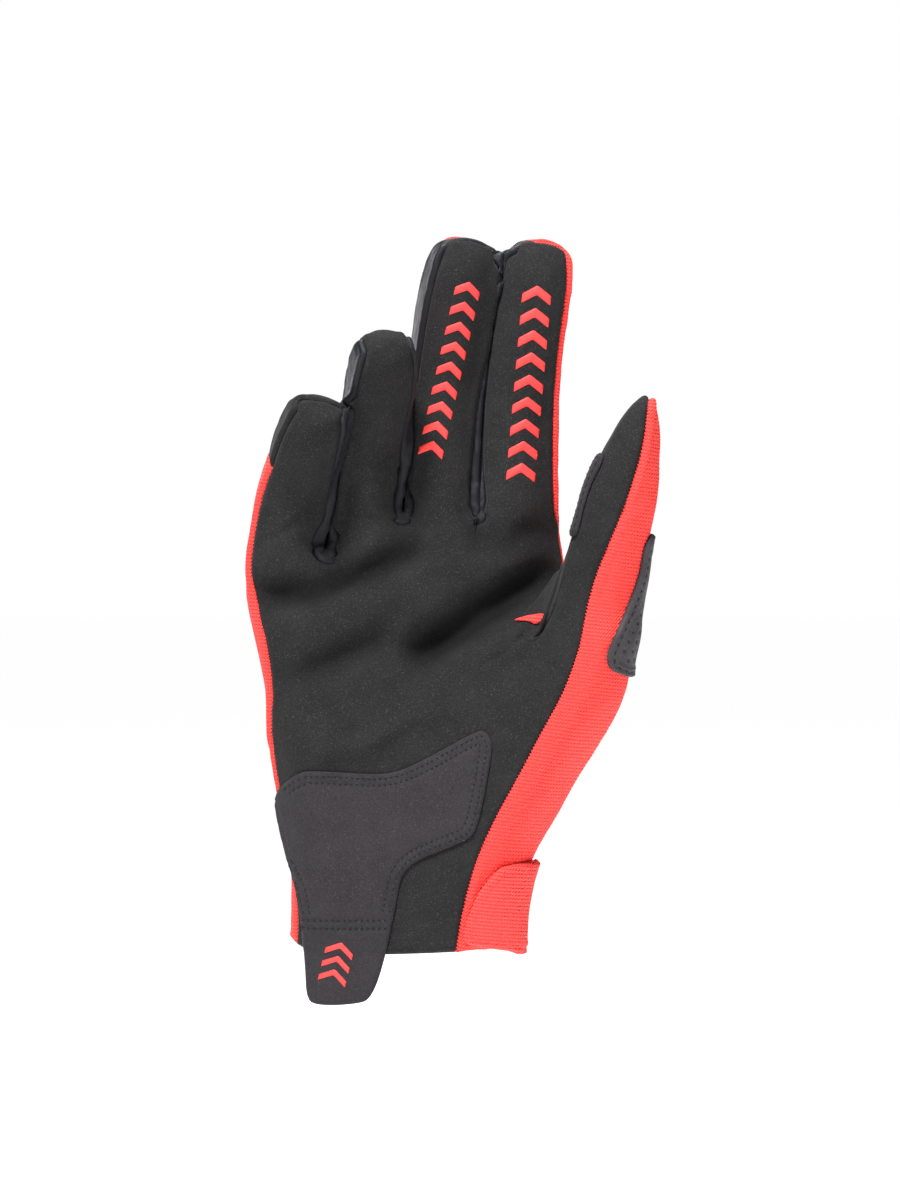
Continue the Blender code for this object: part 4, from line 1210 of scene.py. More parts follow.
def shell(name, points, quads, wall, gap, ribs, folds):
    """A closed wall under a sheet of quads, with its edge drawn in by a gap."""
    used, local = np.unique(quads, return_inverse=True)
    quads = local.reshape(-1, 4)
    points, folds = points[used], folds[used]
    faces = quads.tolist()
    if ribs:
        points, faces = split_rows(points, quads)
    rim = np.array(rim_edges(faces))
    normals = point_normals(points, faces)
    along = unit(points[rim[:, 1]] - points[rim[:, 0]])
    pull = sum(gathered(rim[:, k], np.cross(normals[rim[:, k]], along), len(points)) for k in (0, 1))
    outer = points + unit(pull) * gap
    inner = outer - normals * wall
    if ribs:
        outer = outer + normals * (np.abs(np.sin(np.pi * rib_phase(outer))) * RIB_HEIGHT)[:, None]
    piece = walled(name, outer, inner, faces, rim.tolist())
    add_layer(piece, "inside", np.repeat((0.0, 1.0), len(points)))
    # The fold layer carries painted shade: the share of full fold depth at each point, which darkens the
    # suede there.
    if not ribs:
        add_layer(piece, "fold", np.tile(np.clip(folds / FOLD_SHADE_FULL_DEPTH, 0, 1), 2))
    return piece


def add_layer(piece, name, values):
    """Gives a piece a number at each point, for its material."""
    piece.data.attributes.new(name, "FLOAT", "POINT").data.foreach_set("value", values)


def split_rows(points, quads):
    """Halves each quad between its lower and its upper edge, so that fine ribs show."""
    middles = {}
    extra = []

    def middle(a, b):
        key = (min(a, b), max(a, b))
        if key not in middles:
            middles[key] = len(points) + len(extra)
            extra.append((points[a] + points[b]) / 2)
        return middles[key]

    halves = []
    for quad in quads.tolist():
        rise = [abs(points[quad[(k + 1) % 4]][2] - points[quad[k]][2]) for k in range(4)]
        if rise[1] + rise[3] < rise[0] + rise[2]:
            quad = quad[1:] + quad[:1]
        a, b, c, d = quad
        right, left = middle(b, c), middle(d, a)
        halves += [(a, b, right, left), (left, right, c, d)]
    faces = []
    for face in halves:
        corners = []
        for a, b in zip(face, face[1:] + face[:1]):
            corners.append(a)
            key = (min(a, b), max(a, b))
            if key in middles:
                corners.append(middles[key])
        faces.append(corners)
    return np.concatenate([points, np.array(extra)]), faces


def make_mesh(name, points, faces, smooth=True):
    mesh = bpy.data.meshes.new(name)
    mesh.from_pydata([tuple(p) for p in points], [], faces)
    mesh.update()
    if smooth:
        mesh.shade_smooth()
    item = bpy.data.objects.new(name, mesh)
    bpy.context.scene.collection.objects.link(item)
    return item


class Skin:
    """A coarse grid laid over the fine surface: takes a place in the plane to a point on the cloth."""

    def __init__(self, rows, surface):
        self.cells = [item for row in rows for item in row]
        width = len(rows[0])
        self.triangles = []
        for r in range(len(rows) - 1):
            for c in range(width - 1):
                low, high = r * width + c, (r + 1) * width + c
                self.triangles += split_quad((low, low + 1, high + 1, high))
        flat = [Vector((place.x, place.y, 0)) for place, _, _ in self.cells]
        self.plane = BVHTree.FromPolygons(flat, self.triangles)
        self.surface = surface

    def find(self, place):
        """Point of the fine surface and outward direction there."""
        _, _, index, _ = self.plane.ray_cast(Vector((place[0], place[1], 1)), Vector((0, 0, -1)))
        if index is None:
            index = self.plane.find_nearest(Vector((place[0], place[1], 0)))[2]
        holder = self.triangles[index]
        weights = triangle_weights(Vector(place), [self.cells[i][0] for i in holder])
        point = sum((self.cells[i][1] * w for i, w in zip(holder, weights)), Vector())
        normal = sum((self.cells[i][2] * w for i, w in zip(holder, weights)), Vector()).normalized()
        hit, _, _, _ = self.surface.ray_cast(point + normal * PROBE, -normal, 2 * PROBE)
        return (hit or point), normal


def rounded(outline, step):
    """Closed smooth curve through an outline, as evenly spaced places."""
    points = [np.array(p, float) for p in outline]
    count = len(points)
    curve = []
    for i in range(count):
        p0, p1, p2, p3 = (points[(i + k) % count] for k in (-1, 0, 1, 2))
        a, b, c = (max(np.linalg.norm(q - p), 1e-9) ** 0.5 for p, q in ((p0, p1), (p1, p2), (p2, p3)))
        slope1 = ((p1 - p0) / a - (p2 - p0) / (a + b) + (p2 - p1) / b) * b
        slope2 = ((p2 - p1) / b - (p3 - p1) / (b + c) + (p3 - p2) / c) * b
        curve += [hermite(k / CURVE_STEPS, p1, p2, slope1, slope2) for k in range(CURVE_STEPS)]
    return resampled(closed(curve), step)[:-1]


def resampled(path, step):
    """Evenly spaced places along a path."""
    lengths = path_lengths(path)
    count = max(2, round(lengths[-1] / step))
    return places_at(np.linspace(0, lengths[-1], count + 1), lengths, path)


def signed_area(places):
    x, y = places[:, 0], places[:, 1]
    return (x * np.roll(y, -1) - y * np.roll(x, -1)).sum() / 2


def inset(places, amount):
    """A closed curve drawn in by an amount, and which of its places lie clear of the curve."""
    along = unit(np.roll(places, -1, axis=0) - np.roll(places, 1, axis=0))
    side = 1 if signed_area(places) > 0 else -1
    moved = places + side * amount * np.stack([-along[:, 1], along[:, 0]], axis=1)
    return moved, path_distances(moved, closed(places)) > amount * INSET_CLEAR


def flat_mesh(border, step):
    """Triangles inside a border, with points spread evenly between."""
    low, high = border.min(0), border.max(0)
    rows = []
    y = low[1]
    while y < high[1]:
        xs = np.arange(low[0] + len(rows) % 2 * step / 2, high[0], step)
        rows.append(np.stack([xs, np.full(len(xs), y)], axis=1))
        y += step * ROW_STEP
    inner = np.concatenate(rows)
    inner = inner[inside(inner, border)]
    inner = inner[path_distances(inner, closed(border)) > step * 0.6]
    count = len(border)
    edges = [(k, (k + 1) % count) for k in range(count)]
    places = [Vector(p) for p in np.concatenate([border, inner])]
    flat, _, faces, _, _, _ = delaunay_2d_cdt(places, edges, [], 0, 1e-7, False)
    flat, faces = np.array([tuple(p) for p in flat]), np.array([tuple(f) for f in faces])
    faces = faces[inside(flat[faces].mean(axis=1), border)]
    if signed_area(flat[faces[0]]) < 0:
        faces = faces[:, ::-1]
    return flat, [tuple(f) for f in faces.tolist()]


def inside(places, border):
    """Which places lie inside a closed curve."""
    turns = np.zeros(len(places))
    for start, end in zip(border, np.roll(border, -1, axis=0)):
        a, b = start - places, end - places
        turns += np.arctan2(a[:, 0] * b[:, 1] - a[:, 1] * b[:, 0], (a * b).sum(axis=1))
    return np.abs(turns) > math.pi


def patch(name, skin, border, wall, step, bevel, seat, relief=None):
    """A sheet with soft edges laid on the surface inside a border.

    relief: height at places, by their distances from the edge."""
    places, faces = flat_mesh(border, step)
    edge = path_distances(places, closed(border))
    share = np.clip(edge / bevel, 0, 1)
    height = wall * (EDGE_WALL + (1 - EDGE_WALL) * np.sqrt(1 - (1 - share) ** 2))
    if relief:
        height = height + relief(places, edge)
    found = [skin.find(p) for p in places]
    base = np.array([tuple(p) for p, _ in found])
    normals = np.array([tuple(n) for _, n in found])
    base, normals = relaxed(base, normals, faces)
    top = base + normals * (seat + height)[:, None]
    return walled(name, top, base + normals * seat, faces, rim_edges(faces))


def relaxed(base, normals, faces):
    """Evens out points and directions over the sheet, to take the steps out of its seat."""
    pairs, counts = neighbours(single_edges(faces), len(base))
    start = base
    for _ in range(RELAX_ROUNDS):
        lift = ((neighbour_mean(base, pairs, counts) - base) * normals).sum(axis=1)
        base = base + normals * (lift * 0.5)[:, None]
        normals = unit(normals + neighbour_mean(normals, pairs, counts))
    sunk = np.minimum(((base - start) * normals).sum(axis=1), 0)
    return base - normals * sunk[:, None], normals


def stitch_rows(name, skin, paths, lift, length, gap, radius):
    """Rows of thread: each stitch a short bowed strand that dips into the cloth at its ends."""
    points, faces = [], []
    for path in paths:
        lengths = path_lengths(path)
        count = max(1, int(lengths[-1] / (length + gap)))
        pitch = lengths[-1] / count
        for number in range(count):
            marks = pitch * number + np.linspace(0, pitch - gap, 6)
            found = [skin.find(p) for p in places_at(marks, lengths, path)]
            rings = []
            for k, (point, normal) in enumerate(found):
                along = (found[min(k + 1, 5)][0] - found[max(k - 1, 0)][0]).normalized()
                side = normal.cross(along).normalized()
                up = along.cross(side).normalized()
                bow = math.sin(math.pi * k / 5)
                centre = point + normal * (lift - radius * STITCH_SINK + radius * STITCH_BOW * bow)
                thick = radius * (THREAD_END + (1 - THREAD_END) * bow)
                rings.append(ring_round(centre, side, up, thick, 6))
            add_tube(points, faces, rings)
    return make_mesh(name, points, faces)


class Shader:
    """A node material built up step by step."""

    def __init__(self, name, roughness, specular, sheen, sheen_roughness=0.5, sheen_tint=(1, 1, 1)):
        self.material = bpy.data.materials.new(name)
        self.material.use_nodes = True
        self.tree = self.material.node_tree
        self.main = self.tree.nodes["Principled BSDF"].inputs
        self.main["Roughness"].default_value = roughness
        self.main["Specular IOR Level"].default_value = specular
        self.main["Sheen Weight"].default_value = sheen
        self.main["Sheen Roughness"].default_value = sheen_roughness
        self.main["Sheen Tint"].default_value = (*sheen_tint, 1)
        self.place = self.add("ShaderNodeTexCoord").outputs["Object"]

    def add(self, kind, inputs=(), **settings):
        node = self.tree.nodes.new(kind)
        for key, value in settings.items():
            setattr(node, key, value)
        for key, value in inputs:
            self.put(node.inputs[key], value)
        return node

    def put(self, socket, value):
        if hasattr(value, "is_output"):
            self.tree.links.new(value, socket)
        else:
            socket.default_value = value

    def math(self, operation, *values):
        return self.add("ShaderNodeMath", enumerate(values), operation=operation).outputs[0]

    def total(self, *terms):
        """Sum of values by their weights."""
        result = 0.0
        for value, weight in terms:
            result = self.math("MULTIPLY_ADD", value, weight, result)
        return result

    def wave(self, value, length):
        """Sine of a value, once round in each length."""
        return self.math("SINE", self.math("MULTIPLY", value, math.tau / length))

    def parts(self, vector):
        return self.add("ShaderNodeSeparateXYZ", ((0, vector),)).outputs

    def attribute(self, name):
        return self.add("ShaderNodeAttribute", attribute_name=name).outputs["Fac"]

    def noise(self, size, detail=2.0, roughness=0.5):
        inputs = (("Vector", self.place), ("Scale", 1 / size), ("Detail", detail), ("Roughness", roughness))
        return self.add("ShaderNodeTexNoise", inputs).outputs["Fac"]

    def cells(self, size):
        inputs = (("Vector", self.place), ("Scale", 1 / size))
        return self.add("ShaderNodeTexVoronoi", inputs).outputs["Distance"]

    def ramp(self, value, low, high):
        inputs = (("Value", value), ("From Min", low), ("From Max", high))
        return self.add("ShaderNodeMapRange", inputs).outputs["Result"]

    def blend(self, share, first, second):
        node = self.add("ShaderNodeMix", data_type="RGBA")
        self.put(node.inputs["Factor"], share)
        colours = [s for s in node.inputs if s.type == "RGBA"]
        for socket, value in zip(colours, (first, second)):
            self.put(socket, (*value, 1) if isinstance(value, tuple) else value)
        return [s for s in node.outputs if s.type == "RGBA"][0]

    def finish(self, colour, *layers):
        """Sets the colour and lays bumps over each other. layers: (height, distance in metres) pairs."""
        self.put(self.main["Base Color"], colour)
        normal = None
        for height, distance in layers:
            inputs = [("Strength", 1.0), ("Distance", distance), ("Height", height)]
            if normal:
                inputs.append(("Normal", normal))
            normal = self.add("ShaderNodeBump", inputs).outputs["Normal"]
        if normal:
            self.put(self.main["Normal"], normal)
        return self.material


def suede(name, dark, light, speck):
    """Napped suede: fine grain, pale fibres, slow changes of the nap, and painted shade in the palm's folds.
    """
    shader = Shader(name, 0.92, 0.08, 0.03, 0.45, (0.9, 0.9, 0.95))
    grain = shader.noise(0.00045, 3.0, 0.6)
    nap = shader.noise(0.009, 3.0, 0.55)
    fibres = shader.ramp(shader.noise(0.00042, 1.0), 0.60, 0.76)
    base = shader.blend(shader.ramp(shader.total((grain, 0.7), (nap, 0.3)), 0.32, 0.68), dark, light)
    worn = shader.blend(shader.math("MULTIPLY", fibres, 0.5), base, speck)
    # Painted shade: the suede is darkened toward near-black where the palm's folds are deep, read from the
    # fold layer.
    fold = shader.math("MULTIPLY", shader.attribute("fold"), FOLD_SHADE_STRENGTH)
    return shader.finish(shader.blend(fold, worn, FOLD_SHADE_COLOUR), (nap, 0.0006), (grain, 0.00012))


def knit(name, shaded, lit, rib_bump=0.00026):
    """Ribbed knit: level ribs with slanted threads, painted shade between the ribs, and darker inside the
    glove.
    """
    shader = Shader(name, 0.8, 0.3, 0.06, 0.4, (1.0, 0.6, 0.55))
    x, y, z = shader.parts(shader.place)
    drift = shader.math("SUBTRACT", shader.noise(0.03, 1.0), 0.5)
    level = shader.total((z, 1.0), (x, RIB_TILT), (drift, 0.0012))
    rib = shader.math("ABSOLUTE", shader.wave(level, 2 * RIB_PITCH))
    facing = shader.parts(shader.add("ShaderNodeNewGeometry").outputs["Normal"])[0]
    sideways = shader.math("GREATER_THAN", shader.math("ABSOLUTE", facing), 0.75)
    slant = shader.total((x, shader.math("SUBTRACT", 1.0, sideways)), (y, sideways), (level, -0.80))
    strand = shader.ramp(shader.wave(slant, 0.00088), -1.0, 1.0)
    fuzz = shader.noise(0.0006, 2.0)
    # The colour share is mostly painted shade, darker in the grooves between the ribs and lighter on their
    # crests; the slanted threads and fuzz add the knit's own pattern.
    share = shader.ramp(shader.total((rib, 0.55), (strand, 0.30), (fuzz, 0.2)), 0.15, 0.80)
    colour = shader.blend(shader.attribute("inside"), shader.blend(share, shaded, lit), LINING)
    return shader.finish(colour, (rib, rib_bump), (strand, 0.00018), (fuzz, 0.00006))


def stretch(name, dark, light):
    """Black stretch cloth: tight diagonal weave with a cool sheen, and painted shade and light that follow
    its soft folds.
    """
    shader = Shader(name, 0.46, 0.2, 0.03, 0.3, (0.7, 0.78, 1.0))
    x, y, z = shader.parts(shader.place)
    waves = [shader.wave(shader.total((x, 1.0), (y, 1.0), (z, way)), 0.0006) for way in (1.0, -1.0)]
    weave = shader.ramp(shader.math("MULTIPLY", *waves), -1.0, 1.0)
    folds = shader.noise(0.006, 2.0)
    # Half of the colour follows the soft fold bumps: painted shade in their hollows and painted light on
    # their crests; the other half is the weave's own pattern.
    colour = shader.blend(shader.total((weave, 0.5), (folds, 0.5)), dark, light)
    return shader.finish(colour, (folds, 0.0010), (weave, 0.00007))


def moulded(name, dark, light):
    """Matte moulded face with a fine pebble grain."""
    shader = Shader(name, 0.7, 0.3, 0.03)
    grain = shader.cells(0.0007)
    cloud = shader.noise(0.008, 3.0)
    colour = shader.blend(shader.ramp(cloud, 0.3, 0.7), dark, light)
    return shader.finish(colour, (cloud, 0.0003), (grain, 0.00010))


def printed(name, colour, worn):
    """Red rubber print with tiny pits and wear."""
    shader = Shader(name, 0.6, 0.2, 0.0)
    wear = shader.ramp(shader.noise(0.0035, 4.0, 0.65), 0.58, 0.75)
    colour = shader.blend(shader.math("MULTIPLY", wear, 0.45), colour, worn)
    return shader.finish(colour, (shader.noise(0.0007, 3.0), 0.00010))


def thread(name, dark, light):
    """Twisted thread."""
    shader = Shader(name, 0.7, 0.2, 0.02, 0.4)
    twist = shader.noise(0.0003, 1.0)
    return shader.finish(shader.blend(twist, dark, light), (twist, 0.00008))


def floor_material():
    shader = Shader("pale floor", 0.9, 0.5, 0.0)
    shader.main["Emission Color"].default_value = (1, 1, 1, 1)
    shader.main["Emission Strength"].default_value = FLOOR_GLOW
    return shader.finish(shader.blend(shader.noise(0.4, 2.0), (0.86, 0.86, 0.86), (0.9, 0.9, 0.9)))


class Front:
    """The cloth as seen from the front: takes a place across and up to the nearest cloth behind it."""

    def __init__(self, surface):
        self.surface = surface

    def find(self, place):
        start = Vector((place[0], -0.2, place[1]))
        hit, normal, _, _ = self.surface.ray_cast(start, Vector((0, 1, 0)))
        if hit is None:
            hit, normal, _, _ = self.surface.find_nearest(start + Vector((0, 0.19, 0)))
        return hit, normal


def runs(places, keep):
    """Stretches of a closed curve where keep holds."""
    count = len(places)
    if keep.all():
        return [closed(places)]
    first = int(np.argmin(keep))
    found, current = [], []
    for k in range(count + 1):
        i = (first + k) % count
        if keep[i] and k < count:
            current.append(places[i])
        elif current:
            if len(current) > 3:
                found.append(np.array(current))
            current = []
    return found


def edge_rows(border, insets, keep=None):
    """Stitch paths inside a border."""
    paths = []
    for amount in insets:
        moved, clear = inset(border, amount)
        if keep is not None:
            clear &= keep(border)
        paths += [resampled(run, PATH_STEP) for run in runs(moved, clear)]
    return paths


def row_groove(paths, depth, width):
    """Groove that rows of stitches press into a sheet."""
    def relief(places, _):
        near = np.min([path_distances(places, path) for path in paths], axis=0)
        return -depth * np.exp(-((near / width) ** 2))
    return relief


def dress(piece, material, slot, *nodes):
    piece.data.materials.clear()
    piece.data.materials.append(material)
    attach(piece, "root")
    if nodes:
        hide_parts(*nodes)


def mesh_tree(piece):
    """Tree of a piece's faces, for rays."""
    mesh = piece.data
    return BVHTree.FromPolygons([v.co for v in mesh.vertices], [p.vertices for p in mesh.polygons])


def chevrons(name, surface, start, end, width, count, material):
    """Raised bars in a row of plain chevrons up a finger."""
    start, end = np.array(start), np.array(end)
    way = unit(end - start)
    side = np.array([way[1], -way[0]])
    pitch = np.linalg.norm(end - start) / count
    points, faces = [], []
    bar = pitch * CHEVRON_BAR
    rise = width * CHEVRON_RISE
    for number in range(count):
        corner = start + way * (pitch * number)
        outline = [
            corner + side * across * width / 2 + way * along
            for across, along in ((-1, 0), (0, rise), (1, 0), (1, bar), (0, rise + bar), (-1, bar))
        ]
        border = resampled(closed(outline), PRINT_STEP)[:-1]
        piece = patch("part", Front(surface), border, PRINT_WALL, PRINT_STEP, PRINT_BEVEL, PRINT_SEAT)
        first = len(points)
        points += [v.co.copy() for v in piece.data.vertices]
        faces += [[i + first for i in p.vertices] for p in piece.data.polygons]
        bpy.data.objects.remove(piece, do_unlink=True)
    dress(make_mesh(name, points, faces), material, "red_strap")


def px(x, y):
    """Place in metres, across and up, of a pixel of the photograph."""
    return ((x - CENTRE_PIXEL) * PIXEL, (MOUTH_PIXEL - y) * PIXEL)


def build_panels(points, quads, labels, folds, materials):
    """The seven sewn panels, each with its wall and cloth."""
    kinds = {"palm_panel": ("suede", SUEDE_WALL), "pinky_tip_panel": ("suede", SUEDE_WALL),
             "back_panel": ("red_knit", KNIT_WALL), "thumb_side_panel": ("red_knit", KNIT_WALL)}
    for number, name in enumerate(PANELS):
        slot, wall = kinds.get(name, ("stretch_fabric", STRETCH_WALL))
        ribbed = name == "thumb_side_panel"
        piece = shell(name + ".cloth", points, quads[labels == number], wall, SEAM_SLIDE, ribbed, folds)
        dress(piece, materials["rib_knit" if ribbed else slot], slot, name)


def sew_on(node, part, skin, outline, paths, sheet, groove, stitch, slot, materials,
           seat=SEAT_GAP, relief=None):
    """A patch and its stitches.

    sheet: wall, step and bevel. groove: depth and width under the stitches. stitch: how far the thread
    lies under the patch's face, then length, gap and radius."""
    wall, step, bevel = sheet
    sink, length, gap, radius = stitch
    relief = relief or row_groove(paths, *groove)
    piece = patch(f"{node}.{part}", skin, rounded(outline, step), wall, step, bevel, seat, relief)
    dress(piece, materials[slot], slot, node)
    thread_slot = "red_strap" if slot == "red_strap" else "stretch_fabric"
    stitches = stitch_rows(node + ".stitches", skin, paths, seat + wall - sink, length, gap, radius)
    dress(stitches, materials["red_thread" if slot == "red_strap" else "dark_thread"], thread_slot)
    return piece


def build_patches(cage, normals, lower, thumb_rings, surface, materials):
    """Heel patch, strap, knuckle pad and grip patch, each laid on its part of the glove."""
    wrap = [ring[-SIDE_POINTS:] + ring[:-SIDE_POINTS] for ring in lower]
    rows = surface_grid(cage, normals, wrap, (SIDE_POINTS, SIDE_POINTS + FRONT_COLUMNS))
    wrist = Skin(hang_below(rows, -HEEL_PATCH_BOX[1] * HANG_MARGIN, HANG_ROWS), surface)
    outline = place_outline(HEEL_PATCH_OUTLINE, HEEL_PATCH_BOX)

    def stitched(places):
        left, bottom = px(284, 912)
        return (places[:, 1] > bottom) & (places[:, 0] > left)

    paths = edge_rows(rounded(outline, BORDER_STEP), (0.0015, 0.0035), stitched)
    paths += [resampled([px(305, y), px(390, y - 1)], PATH_STEP) for y in (916, 924)]
    heel = sew_on("heel_patch", "suede", wrist, outline, paths, (HEEL_PATCH_WALL * 0.7, 0.0009, 0.0009),
                  (0.00040, 0.0005), (0.00028, 0.0011, 0.0006, 0.00028), "grey_suede", materials)
    chevrons("heel_patch.print", mesh_tree(heel), px(333, 978), px(343, 938), 0.0085, 3, materials["print"])

    outline = place_outline(STRAP_OUTLINE, STRAP_BOX)
    paths = edge_rows(rounded(outline, BORDER_STEP), (0.0018,))
    sew_on("wrist_strap", "band", wrist, outline, paths, (STRAP_WALL, 0.0007, 0.0009), (0.00020, 0.0005),
           (0.0002, 0.0019, 0.0008, 0.00016), "red_strap", materials, STRAP_SEAT)

    outer_side = slice(PALM_COLUMNS, PALM_COLUMNS + 2 * THUMB_COLUMNS + SIDE_POINTS)
    rings = [ring[outer_side] for ring in lower[:-1]]
    rings += [ring[:-SIDE_POINTS] for ring in thumb_rings]
    thumb = Skin(surface_grid(cage, normals, rings, (0, THUMB_COLUMNS)), surface)
    outline = place_outline(KNUCKLE_PAD_OUTLINE, KNUCKLE_PAD_BOX)
    border = rounded(outline, BORDER_STEP)
    paths = edge_rows(border, (0.0016,))
    holes = pad_holes(border)
    groove = row_groove(paths, 0.00035, 0.0006)

    def pad_relief(places, edge):
        flat = PAD_BRIM * (1 - np.clip((edge - 0.0024) / 0.0006, 0, 1))
        near = np.min([np.linalg.norm(places - hole, axis=1) for hole in holes], axis=0)
        return groove(places, edge) + flat - PAD_HOLE_DEPTH * np.exp(-((near / PAD_HOLE_RADIUS) ** 4))

    pad = sew_on("thumb_knuckle_pad", "face", thumb, outline, paths,
                 (KNUCKLE_PAD_WALL - PAD_BRIM, 0.0005, 0.0008), None, (-0.0001, 0.0017, 0.0008, 0.00020),
                 "moulded_pad", materials, relief=pad_relief)

    rings = [ring[-INNER_SIDE_POINTS:] + ring[:THUMB_COLUMNS] for ring in thumb_rings[1:]]
    front = (INNER_SIDE_POINTS, INNER_SIDE_POINTS + THUMB_COLUMNS)
    inner = Skin(surface_grid(cage, normals, rings, front), surface)
    outline = place_outline(GRIP_PATCH_OUTLINE, GRIP_PATCH_BOX)
    paths = edge_rows(rounded(outline, BORDER_STEP), (0.0013,))
    sew_on("thumb_grip_patch", "suede", inner, outline, paths, (GRIP_PATCH_WALL, 0.0007, 0.0007),
           (0.00022, 0.0005), (0.0001, 0.0016, 0.0008, 0.00018), "grey_suede", materials)


def build_teeth(points, quads, labels, materials):
    """Overcast threads along the fourchettes and along the thumb's red side."""
    suede_side = {PANELS.index("palm_panel"), PANELS.index("pinky_tip_panel")}
    stretch_side = {PANELS.index(name) for name in FOURCHETTES}
    knit_side = {PANELS.index("thumb_side_panel")}
    for name, side, scale, colour, slot in (
        ("fourchettes", stretch_side, 1, "dark_thread", "stretch_fabric"),
        ("thumb_side_panel", knit_side, 1.2, "red_thread", "red_knit"),
    ):
        teeth = seam_teeth(name + ".stitches", points, quads, labels, (side, suede_side), scale)
        dress(teeth, materials[colour], slot)


def bridge(name, surface, outline, step, wall):
    """A sheet stretched over the cloth inside an outline, which spans the hollows it meets."""
    places, faces = flat_mesh(rounded(outline, step), step)
    cloth = np.array([Front(surface).find(p)[0].y for p in places]) - BRIDGE_SEAT
    pairs, counts = neighbours(single_edges(faces), len(places))
    rim = rim_edges(faces)
    held = np.array(sorted({a for a, _ in rim}))
    depth = np.full(len(places), cloth[held].mean())
    for _ in range(BRIDGE_ROUNDS):
        depth = np.minimum(neighbour_mean(depth, pairs, counts), cloth)
        depth[held] = cloth[held]
    edge = np.array([np.linalg.norm(places[held] - p, axis=1).min() for p in places])
    depth = np.minimum(depth + BRIDGE_SAG * (1 - np.exp(-((edge / BRIDGE_EDGE) ** 2))), cloth)
    front = np.stack([places[:, 0], depth, places[:, 1]], axis=1)
    return walled(name, front, front + (0, wall, 0), faces, rim)


def rolled_edge(name, surface, path, radius):
    """A narrow roll of cloth along a path seen from the front."""
    front = Front(surface)
    path = resampled([px(*p) for p in path], ROLL_STEP)
    last = len(path) - 1
    depths = [front.find(p)[0].y for p in path]
    for _ in range(6):
        nearest = [min(depths[max(k - 1, 0):k + 2]) for k in range(last + 1)]
        depths = [(a + b) / 2 for a, b in zip(nearest, depths)]
    centres = np.array([(x, y - radius * 0.6, z) for (x, z), y in zip(path, depths)])
    rings = []
    for k, centre in enumerate(centres):
        along = unit(centres[min(k + 1, last)] - centres[max(k - 1, 0)])
        side = unit(np.cross(along, (0, 1, 0)))
        thick = radius * (0.35 + 0.65 * min(1.0, k / 8, (last - k) / 2))
        rings.append(ring_round(centre, side, np.cross(side, along), thick, 10))
    points, faces = [], []
    add_tube(points, faces, rings)
    return make_mesh(name, points, faces)


def build_crotch(surface, materials):
    """The gathered cloth where the thumb meets the palm."""
    sheet = bridge("thumb_crotch.suede", surface, [px(*p) for p in CROTCH_SHEET], 0.0005, 0.0002)
    dress(sheet, materials["suede"], "suede")
    both = Nearest([surface, mesh_tree(sheet)])
    border = rounded([px(*p) for p in CROTCH_KNIT], 0.0004)
    sliver = patch("thumb_crotch.knit", Front(both), border, 0.0005, 0.0004, 0.0004, SEAT_GAP)
    dress(sliver, materials["red_strap"], "red_knit")
    dress(rolled_edge("thumb_crotch.edge", both, CROTCH_ROLL, 0.00072), materials["suede"], "suede")


class Nearest:
    """Several surfaces taken as one for rays."""

    def __init__(self, trees):
        self.trees = trees

    def ray_cast(self, start, way):
        found = [tree.ray_cast(start, way) for tree in self.trees]
        return min(found, key=lambda item: item[3] if item[0] else 1e9)

    def find_nearest(self, place):
        return min((tree.find_nearest(place) for tree in self.trees), key=lambda item: item[3])


def pad_holes(border):
    """Perforations in staggered rows inside the pad's stitched edge."""
    low, high = border.min(0), border.max(0)
    found = []
    for row, y in enumerate(np.arange(low[1], high[1], PAD_HOLE_PITCH * 0.9)):
        start = low[0] + row % 2 * PAD_HOLE_PITCH / 2
        found += [(x, y) for x in np.arange(start, high[0], PAD_HOLE_PITCH)]
    found = np.array(found)
    return found[inside(found, border) & (path_distances(found, closed(border)) > PAD_HOLE_EDGE)]


def area_light(name, place, aim, size, power):
    data = bpy.data.lights.new(name, "AREA")
    data.shape = "DISK"
    data.size = size
    data.energy = power
    item = bpy.data.objects.new(name, data)
    item.location = place
    item.rotation_euler = (Vector(aim) - Vector(place)).to_track_quat("-Z", "Y").to_euler()
    bpy.context.scene.collection.objects.link(item)


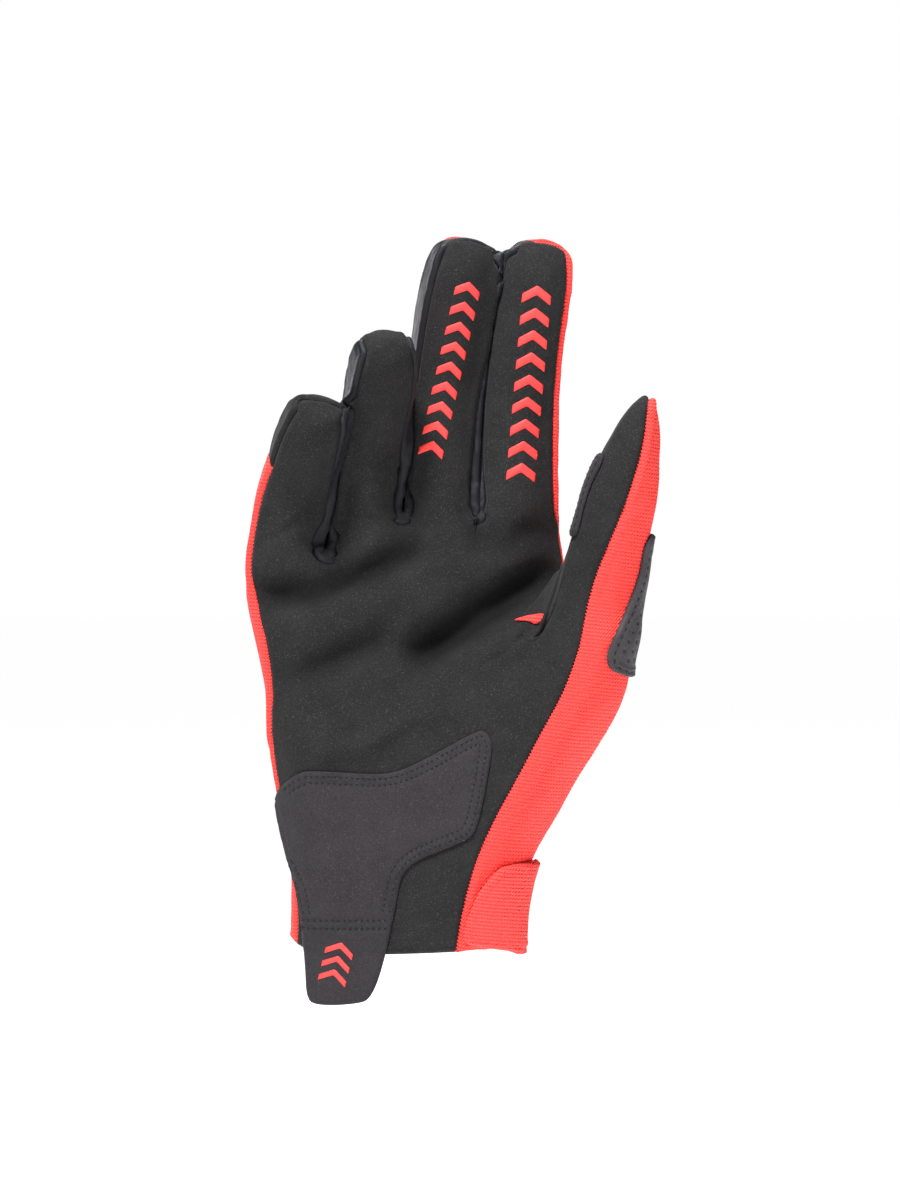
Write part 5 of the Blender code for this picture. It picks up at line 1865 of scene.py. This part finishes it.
def build_studio():
    """White surroundings, soft lights, a pale floor and a long lens in front."""
    world = bpy.data.worlds.new("studio")
    world.use_nodes = True
    tree = world.node_tree
    background = tree.nodes["Background"].inputs
    background["Color"].default_value = (1, 1, 1, 1)
    strength = tree.nodes.new("ShaderNodeMapRange")
    strength.inputs["To Min"].default_value = WORLD_STRENGTH
    seen = tree.nodes.new("ShaderNodeLightPath").outputs["Is Camera Ray"]
    tree.links.new(seen, strength.inputs["Value"])
    tree.links.new(strength.outputs["Result"], background["Strength"])
    bpy.context.scene.world = world
    bpy.context.scene.view_settings.view_transform = "Standard"
    area_light("key", (-0.22, -0.60, 1.20), (0.01, 0, 0.1), 0.28, KEY_POWER)
    area_light("fill", (0.9, -0.7, 0.25), (0.01, 0, 0.1), 0.5, FILL_POWER)
    area_light("top", (0.1, 0.4, 1.0), (0.01, 0, 0.12), 0.5, TOP_POWER)
    area_light("behind", (-0.4, 1.1, 0.5), (0.01, 0, 0.1), 0.6, BACK_POWER)
    corners = [(x * FLOOR_REACH, y * FLOOR_REACH, FLOOR) for x, y in ((-1, -1), (1, -1), (1, 1), (-1, 1))]
    floor = make_mesh("floor", corners, [(0, 1, 2, 3)], False)
    floor.data.materials.append(floor_material())
    camera = bpy.data.cameras.new("camera")
    camera.sensor_fit = "VERTICAL"
    camera.sensor_height = SENSOR
    camera.lens = LENS
    item = bpy.data.objects.new("camera", camera)
    width, height = PHOTO_SIZE
    x, z = px(width / 2, height / 2)
    item.location = (x, -PIXEL * height * LENS / SENSOR, z)
    item.rotation_euler = (math.pi / 2, 0, 0)
    bpy.context.scene.collection.objects.link(item)
    bpy.context.scene.camera = item


def main():
    cage, lower, thumb_rings = build_cage()
    normals = cage_normals(cage)
    points, quads, labels = fine_surface(cage)
    points = round_seams(points, quads, labels)
    points = widen_webs(points, quads, labels)
    points = close_slits(points, quads, labels)
    points = shape_hem(points, quads)
    points, folds = add_relief(points, quads, labels)
    surface = BVHTree.FromPolygons([tuple(p) for p in points], quads.tolist())
    # Lit and shaded copies of the red: the knit blends toward the shaded one in the grooves between its
    # ribs, as painted shade.
    shaded_red, lit_red = (0.60, 0.014, 0.012), (0.93, 0.050, 0.042)
    materials = {
        "suede": suede("suede", (0.0085, 0.0082, 0.0084), (0.0190, 0.0184, 0.0188), (0.060, 0.057, 0.054)),
        "grey_suede": suede(
            "grey suede", (0.0165, 0.0150, 0.0170), (0.0290, 0.0262, 0.0292), (0.066, 0.060, 0.064)
        ),
        "red_knit": knit("red knit", shaded_red, lit_red),
        "rib_knit": knit("ribbed red knit", shaded_red, lit_red, 0.00016),
        # Lit and shaded reds of the strap; the shaded one is painted shade between the ribs.
        "red_strap": knit("red strap", (0.62, 0.016, 0.014), (0.95, 0.060, 0.052)),
        "stretch_fabric": stretch("black stretch cloth", (0.0020, 0.0021, 0.0032), (0.0075, 0.0080, 0.0115)),
        "moulded_pad": moulded("moulded pad", (0.019, 0.0165, 0.0195), (0.030, 0.0265, 0.031)),
        "dark_thread": thread("dark thread", (0.003, 0.003, 0.0035), (0.010, 0.010, 0.011)),
        "red_thread": thread("red thread", (0.60, 0.025, 0.022), (0.85, 0.06, 0.05)),
        "print": printed("red rubber print", (0.80, 0.048, 0.045), (0.42, 0.030, 0.028)),
    }
    build_panels(points, quads, labels, folds, materials)
    build_patches(cage, normals, lower, thumb_rings, surface, materials)
    build_teeth(points, quads, labels, materials)
    build_crotch(surface, materials)
    chevrons("middle_finger.print", surface, px(430, 458), px(470, 282), 0.0076, 9, materials["print"])
    chevrons("index_finger.print", surface, px(520, 482), px(537, 285), 0.0088, 9, materials["print"])
    build_studio()


main()
